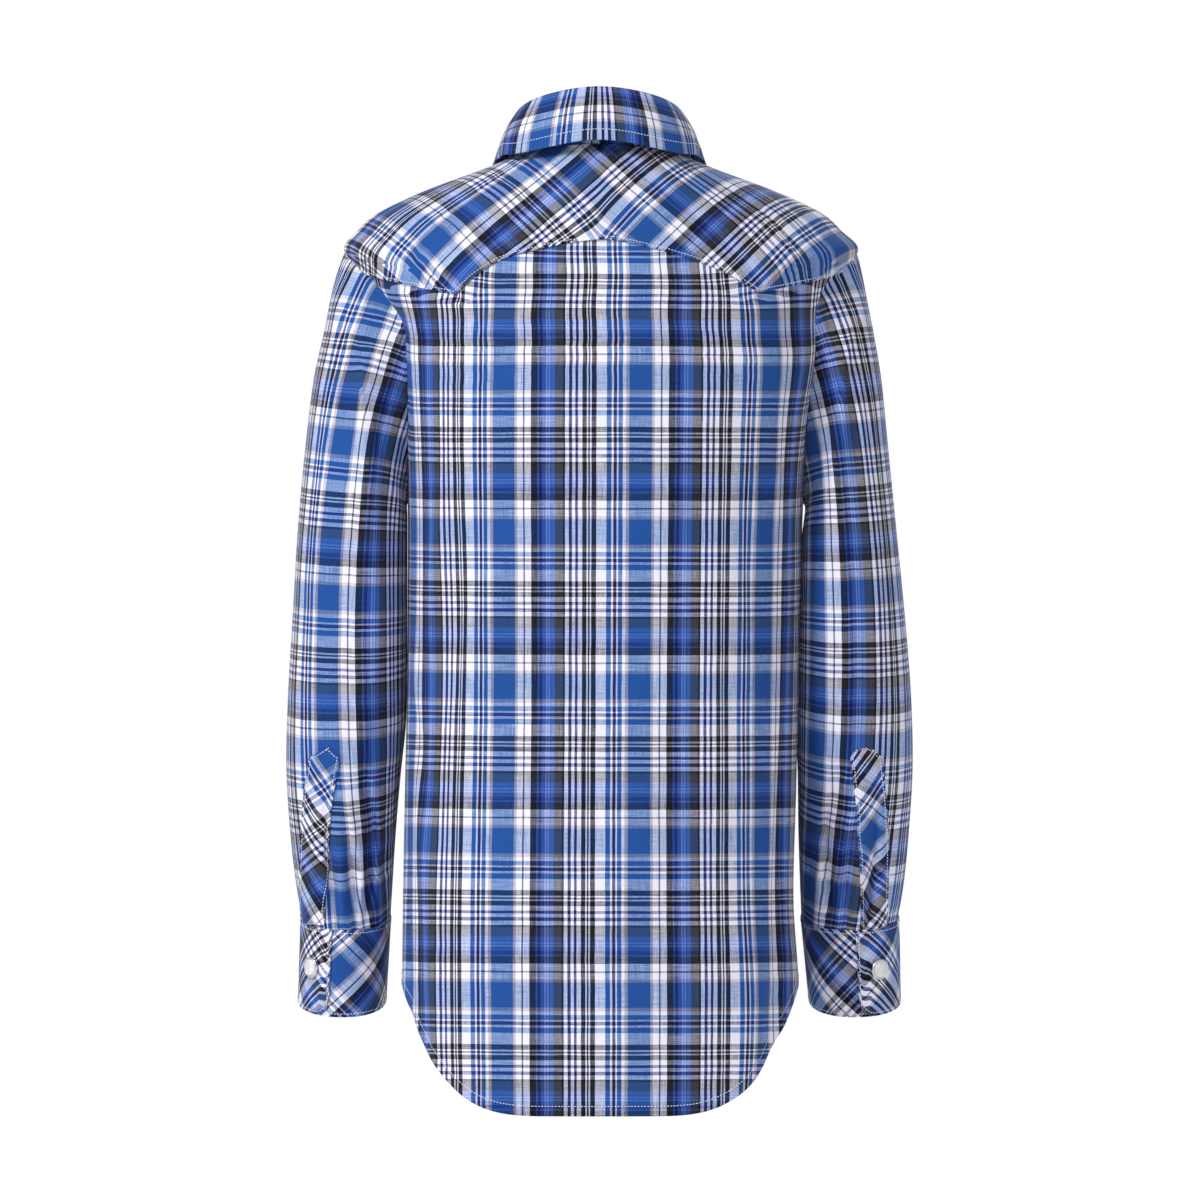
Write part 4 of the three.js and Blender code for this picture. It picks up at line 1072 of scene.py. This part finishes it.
def front_rows(side, across):
    turn = lerp(1 if side > 0 else 0.5, front_turn(HEM_STRAIGHT, across), share_front)
    rows = hem_rows(turn, HEM_FRONT_LOW)
    for level in np.linspace(HEM_STRAIGHT, ARMPIT, 100)[1:]:
        rows.append(front_point(side, share_front, level, level, across))
    for v in np.linspace(0, 1, 40)[1:]:
        side_level = lerp(ARMPIT, FRONT_CORNER, v)
        rows.append(front_point(side, share_front, side_level, lerp(ARMPIT, front_low, v), across))
    return rows


def front_yoke_rows(side, across, shares):
    tip = (SHOULDER_TIP - FRONT_CORNER) / (NECK - FRONT_CORNER)
    rows = []
    for v in np.concatenate([np.linspace(0, tip, 26)[:-1], np.linspace(tip, 1, 24)]):
        row = front_point(side, share_front, lerp(FRONT_CORNER, NECK, v), lerp(front_low, NECK, v), across)
        rows.append(row[shares])
    return rows


whole = slice(None)
fronts = {}
front_yokes = {}
for side, name in ((1, "right"), (-1, "left")):
    across = -PLACKET_HALF
    points = np.array(front_rows(side, across) + front_yoke_rows(side, across, whole)[1:])
    hem = turned_edge(points, HEM_TURN)
    under = -0.9 * (1 - smooth(edge_distance(points, "left") / 6)) * (points[..., 2] < -20)
    fronts[side] = cloth(
        f"front_{name}", points, "plaid_straight", flip=side < 0, behind=False,
        lift=hem * HEM_PROUD + under + pucker(points, HEM_TURN, 7 + side), thick=CLOTH + hem,
    )
    shares = slice(0, 80) if side > 0 else whole
    points = np.array(front_yoke_rows(side, across, shares))
    fold = turned_edge(points, YOKE_TURN)
    front_yokes[side] = cloth(
        f"front_yoke_{name}", points, "plaid_bias", flip=side < 0, behind=False,
        lift=YOKE_LIFT + pucker(points, YOKE_PUCKER, 11 + side), thick=CLOTH + fold,
        turn=45 * side,
    )

placket_levels = np.linspace(HEM_FRONT_LOW + 0.5, NECK - 0.5, 240)
placket_across = np.linspace(-PLACKET_HALF, PLACKET_HALF, 15)
points = np.array([body_point(front_turn(level, placket_across), level) for level in placket_levels])
placket = cloth(
    "front_placket", points, "plaid_bias", flip=True, behind=False,
    lift=PLACKET_LIFT, thick=DOUBLE, turn=45,
)

# Sleeves, cuffs and sleeve plackets

SLEEVE_COLUMNS = 132
UNDERARM = 0.5  # the sleeve's seam


def sleeve_rows(side):
    turn = UNDERARM + np.linspace(0, 1, SLEEVE_COLUMNS + 1)
    cap, arm, wrist = np.linspace(0, 2.4, 26), np.linspace(2.4, 9, 70), np.linspace(9, 12.1, 40)
    steps = np.concatenate([cap[:-1], arm[:-1], wrist])
    return np.array([sleeve_point(side, turn, step) for step in steps])[::-1]


def cuff_point(side, turn, share):
    """Points of a cuff, at places round it and shares of its height from the top."""
    top = row_at(SLEEVE, "step", 12)
    r = {column: lerp(top[column], CUFF[column], share) for column in CUFF}
    z = CUFF_TOP - SEAM_GAP - share * CUFF_HEIGHT
    out, inn = (
        np.stack([side * x + 0 * turn, r["mid"] + 0 * turn, z + 0 * turn], -1)
        for x in ((r["outR"], r["inR"]) if side > 0 else (r["outL"], r["inL"]))
    )
    return ring_point(out, inn, r["mid"], r["deep"], r["tilt"], turn)


def cuff_rows(side):
    total = 1 + CUFF_OVERLAP
    along = np.linspace(0, total, 150)
    turn = CUFF_END[side] - total + along
    rise = smooth((along - LAP_START) / LAP_RISE)
    from_end = (total - along) * CUFF_GIRTH
    corner = np.clip(CUFF_CORNER - from_end, 0, None) / CUFF_CORNER
    trim = 1 - (1 - np.sqrt(1 - corner**2)) * (CUFF_CORNER / CUFF_HEIGHT) * 0.92
    rows = []
    for v in np.linspace(0, 1, 30):
        share = lerp(trim, -0.03, v)
        p = cuff_point(side, turn, share)
        away = p - (cuff_point(side, turn, share) + cuff_point(side, turn + 0.5, share)) / 2
        away[..., 2] = 0
        rows.append(p + unit(away) * (rise * LAP_HEIGHT)[:, None])
    return np.array(rows)


# Middle, height and half width of each sleeve placket, from the cuff to its point.
STRIP = {
    1: table("across height half", (170.5, -487, 8), (170.5, -440, 9), (168.5, -405, 9.5),
             (165.5, -380, 9.8), (161.5, -368, 0.6)),
    -1: table("across height half", (-178.5, -484, 7.5), (-177, -440, 8.4), (-175, -410, 9),
              (-170.6, -380, 9.4), (-168.7, -373, 0.6)),
}


def strip_rows(side):
    surface = lambda turn, level: sleeve_point(side, turn, level / -10)
    rows = STRIP[side]
    at = np.linspace(0, len(rows) - 1, 61)[:, None]
    mix = lambda column: np.interp(at, np.arange(len(rows)), [r[column] for r in rows])
    w = np.linspace(1, -1, 13)[None, :]
    across = mix("across") + side * mix("half") * w
    height = mix("height") + 0 * w
    turn, level = seen_from_behind(surface, across, height, 0.15, -105, -119.8, -85)
    return surface(turn, level)


sleeves = {}
cuffs = {}
strips = {}
for side, name in ((1, "right"), (-1, "left")):
    points = sleeve_rows(side)
    sleeves[side] = cloth(
        f"sleeve_{name}", points, "plaid_straight", flip=side > 0, round_=True,
    )
    points = cuff_rows(side)
    cuffs[side] = cloth(
        f"cuff_{name}", points, "plaid_bias", flip=side > 0,
        lift=0.5, thick=DOUBLE, turn=-45 * side,
    )
    points = strip_rows(side)
    strips[side] = cloth(
        f"sleeve_placket_{name}", points, "plaid_bias", flip=side > 0,
        lift=1.2, thick=0.9, turn=45 * side,
    )

# Collar

# The fold and the leaf's lower edge, from the middle of the back to the front. part is the share
# of the way round, level a height on the body, and lift how far the edge stands off it.
COLLAR = table(
    "part foldX foldY foldZ level lift",
    (-0.25, -39, -32, 29, -14.2, 8.5),
    (0, 0, -47, 36.5, -11.5, 13.5),
    (0.25, 39, -32, 29, -14.2, 8.5),
    (0.5, 52, 2, 13, -10.6, 3.7),
    (0.75, 39, 36, -14, -19.5, 5),
    (0.9, 17, 50, -32, -36, 5),
    (1, 2, 53, -37, -50, 5),
)
COLLAR_FRONT_TURN = 0.035
COLLAR_THICK = 1.0
LEAF_BULGE = 3  # how far the leaf swells between its fold and its edge
STAND_TUCK = 1.2  # how far the stand's seam reaches down inside the neckline
LEAF_GAP = 2.4  # between the leaf's outer face and the stand at the fold


def fold_point(part):
    r = row_at(COLLAR, "part", np.abs(part))
    return np.stack([np.sign(part) * r["foldX"], r["foldY"], r["foldZ"]], -1)


def leaf_point(part, share):
    r = row_at(COLLAR, "part", np.abs(part))
    turn = 0.25 - part * (0.5 - COLLAR_FRONT_TURN)
    edge = body_point(turn, r["level"]) + body_normal(turn, r["level"]) * r["lift"][..., None]
    along = fold_point(part + 0.02) - fold_point(part - 0.02)
    along[..., 2] = 0
    along = unit(along)
    away = np.stack([along[..., 1], -along[..., 0], 0 * part], -1)
    start = fold_point(part) + away * LEAF_GAP
    return lerp(start, edge, share) + away * LEAF_BULGE * math.sin(math.pi * share)


def stand_point(part, share):
    base = body_point(0.25 - part * 0.5, NECK)
    base[..., 2] -= STAND_TUCK
    return lerp(base, fold_point(part), share)


part = np.linspace(-0.985, 0.985, 181)
points = np.array([leaf_point(part, v) for v in np.linspace(0, 1, 34)])
leaf = cloth(
    "collar_leaf", points, "plaid_straight", flip=True, thick=COLLAR_THICK,
    turn=180, turned_over=True, strip=True,
)
part = np.linspace(-0.995, 0.995, 161)
points = np.array([stand_point(part, v) for v in np.linspace(0, 1, 22)])
stand = cloth(
    "collar_stand", points, "plaid_straight", thick=COLLAR_THICK,
    strip=True,
)

# Snaps: a domed pearly cap in a silver ring

CAP_RADIUS = 5.15
CAP_DOME = 1.5
CAP_FOOT = 0.6
RING_RADIUS = 5.75
RING_ROUND = 0.75
RING_MIDDLE = 1.1
SNAP_SIDES = 48
CUFF_SNAP_PLACE = 0.45  # share of the cuff's height above the snap
CUFF_SNAP_LIFT = 1.9


def lathe(profile, corners, faces, slots, material, place, rotation):
    """Adds a turned shape to lists of corners and faces."""
    start = len(corners)
    for k in range(SNAP_SIDES):
        angle = 2 * math.pi * k / SNAP_SIDES
        for radius, height in profile:
            p = rotation @ Vector((radius * math.cos(angle), radius * math.sin(angle), height))
            corners.append(tuple((place + p) * MM))
    size = len(profile)
    for k in range(SNAP_SIDES):
        after = (k + 1) % SNAP_SIDES
        for m in range(size - 1):
            a, b = start + k * size + m, start + after * size + m
            faces.append((a, b, b + 1, a + 1))
            slots.append(material)


def snap(name, node, foot, facing):
    corners, faces, slots = [], [], []
    rotation = Vector((0, 0, 1)).rotation_difference(Vector(facing)).to_matrix()
    place = Vector(foot)
    quarter = np.linspace(0.02, math.pi / 2, 12)
    dome = [(CAP_RADIUS * math.sin(a), CAP_DOME + CAP_DOME * math.cos(a)) for a in quarter]
    dome += [(CAP_RADIUS, CAP_FOOT), (0.1, 0.5)]
    lathe(dome[::-1], corners, faces, slots, 0, place, rotation)
    circle = np.linspace(0, 2 * math.pi, 13)
    ring = [(RING_RADIUS + RING_ROUND * math.cos(a), RING_MIDDLE + RING_ROUND * math.sin(a)) for a in circle]
    lathe(ring, corners, faces, slots, 1, place, rotation)
    mesh = bpy.data.meshes.new(name)
    mesh.from_pydata(corners, [], faces)
    mesh.materials.append(pearl)
    mesh.materials.append(silver)
    mesh.polygons.foreach_set("material_index", slots)
    mesh.polygons.foreach_set("use_smooth", [True] * len(faces))
    mesh.validate()
    mesh.update()
    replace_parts(new_piece(name, mesh), node)


for k in range(FRONT_SNAPS):
    level = lerp(SNAP_TOP, SNAP_LOW, k / (FRONT_SNAPS - 1)) + (SNAP_RAISED if k == 0 else 0)
    turn = front_turn(level, 0)
    facing = body_normal(turn, level)
    foot = body_point(turn, level) + facing * (PLACKET_LIFT + 0.1)
    snap(f"snap_front_{k + 1}_cap", f"snap_front_{k + 1}", foot, facing)

for side, name in ((1, "right"), (-1, "left")):
    turn = np.array(CUFF_END[side] - CUFF_SNAP_BACK)
    low, high = CUFF_SNAP_PLACE + 0.05, CUFF_SNAP_PLACE - 0.05
    a = cuff_point(side, turn + 0.01, CUFF_SNAP_PLACE) - cuff_point(side, turn - 0.01, CUFF_SNAP_PLACE)
    b = cuff_point(side, turn, high) - cuff_point(side, turn, low)
    facing = unit(np.cross(b, a)) * side
    foot = cuff_point(side, turn, CUFF_SNAP_PLACE) + facing * CUFF_SNAP_LIFT
    snap(f"snap_cuff_{name}_cap", f"snap_cuff_{name}", foot, facing)

# Topstitching

TOPSTITCH = [
    ("stitch_hem_back", back, "hem", ["low"]),
    ("stitch_yoke_back", yoke, "yoke", ["low"]),
    ("stitch_collar", leaf, "collar", ["high"]),
    ("stitch_placket_front", placket, "placket", ["left", "right"]),
]
for side, name in ((1, "right"), (-1, "left")):
    TOPSTITCH.append((f"stitch_hem_{name}", fronts[side], "hem", ["low"]))
    TOPSTITCH.append((f"stitch_yoke_{name}", front_yokes[side], "yoke", ["low"]))
    TOPSTITCH.append((f"stitch_cuff_{name}", cuffs[side], "cuff", ["low", "high", "right"]))
    TOPSTITCH.append((
        f"stitch_sleeve_placket_{name}", strips[side], "sleeve_placket", ["left", "right"],
    ))
for name, shell, kind, edges in TOPSTITCH:
    stitches(name, [inset_line(shell, edge, STITCH_IN[kind]) for edge in edges])

# Floor, lights and camera

SCALE = 0.62  # millimetres at the object for each pixel of the photo
CENTRE_X, CENTRE_Z = 0.3, -282.1  # middle of the photo's frame, in millimetres
DISTANCE = 12.0  # from the camera to the back of the shirt, in metres
BACK = 0.05  # from the origin to the back of the shirt, in metres
PHOTO_WIDTH = 1200  # pixels
SENSOR = 36
FLOOR_REACH = 1.7  # radius of the round floor, in metres
FLOOR_LEVEL = -0.72  # its height, in metres, below the frame of the photo's view
FLOOR_SIDES = 96
floor_mesh = bpy.data.meshes.new("floor")
around = np.linspace(0, 2 * math.pi, FLOOR_SIDES + 1)[:-1]
rim = [(FLOOR_REACH * math.cos(a), FLOOR_REACH * math.sin(a), FLOOR_LEVEL) for a in around]
floor_mesh.from_pydata(rim, [], [tuple(range(FLOOR_SIDES))])
floor = new_object("floor", floor_mesh)
pale, nodes, links, shader = new_material("pale_floor")
shader.inputs["Base Color"].default_value = (0.97, 0.97, 0.97, 1)
shader.inputs["Roughness"].default_value = 0.9
floor_mesh.materials.append(pale)

world = bpy.data.worlds.new("studio")
bpy.context.scene.world = world
world.use_nodes = True
backdrop = world.node_tree.nodes["Background"]
nodes, links = world.node_tree.nodes, world.node_tree.links
path = nodes.new("ShaderNodeLightPath")
strength = map_range(nodes, links, path.outputs["Is Camera Ray"], 0.42, 1.0)
links.new(strength, backdrop.inputs["Strength"])
backdrop.inputs["Color"].default_value = (1, 1, 1, 1)


def area_light(name, place, target, size, power_w):
    data = bpy.data.lights.new(name, "AREA")
    data.size = size
    data.energy = power_w
    light = new_object(name, data)
    light.location = place
    light.rotation_euler = (Vector(target) - Vector(place)).to_track_quat("-Z", "Y").to_euler()


middle = (0, 0, -0.28)
area_light("key", (-1.8, -1.9, 1.5), (-0.05, 0, -0.15), 0.8, 72)
area_light("fill", (1.9, -2.2, 0.3), middle, 1.6, 11)
area_light("back_light", (0.5, 2.6, 0.9), middle, 2.0, 26)

camera_data = bpy.data.cameras.new("camera")
camera_data.sensor_width = SENSOR
camera_data.lens = SENSOR * DISTANCE / (PHOTO_WIDTH * SCALE * MM)
camera_data.clip_end = 200
camera = new_object("camera", camera_data)
camera.location = (CENTRE_X * MM, -DISTANCE - BACK, CENTRE_Z * MM)
camera.rotation_euler = (math.pi / 2, 0, 0)
bpy.context.scene.camera = camera
bpy.context.scene.view_settings.view_transform = "Standard"
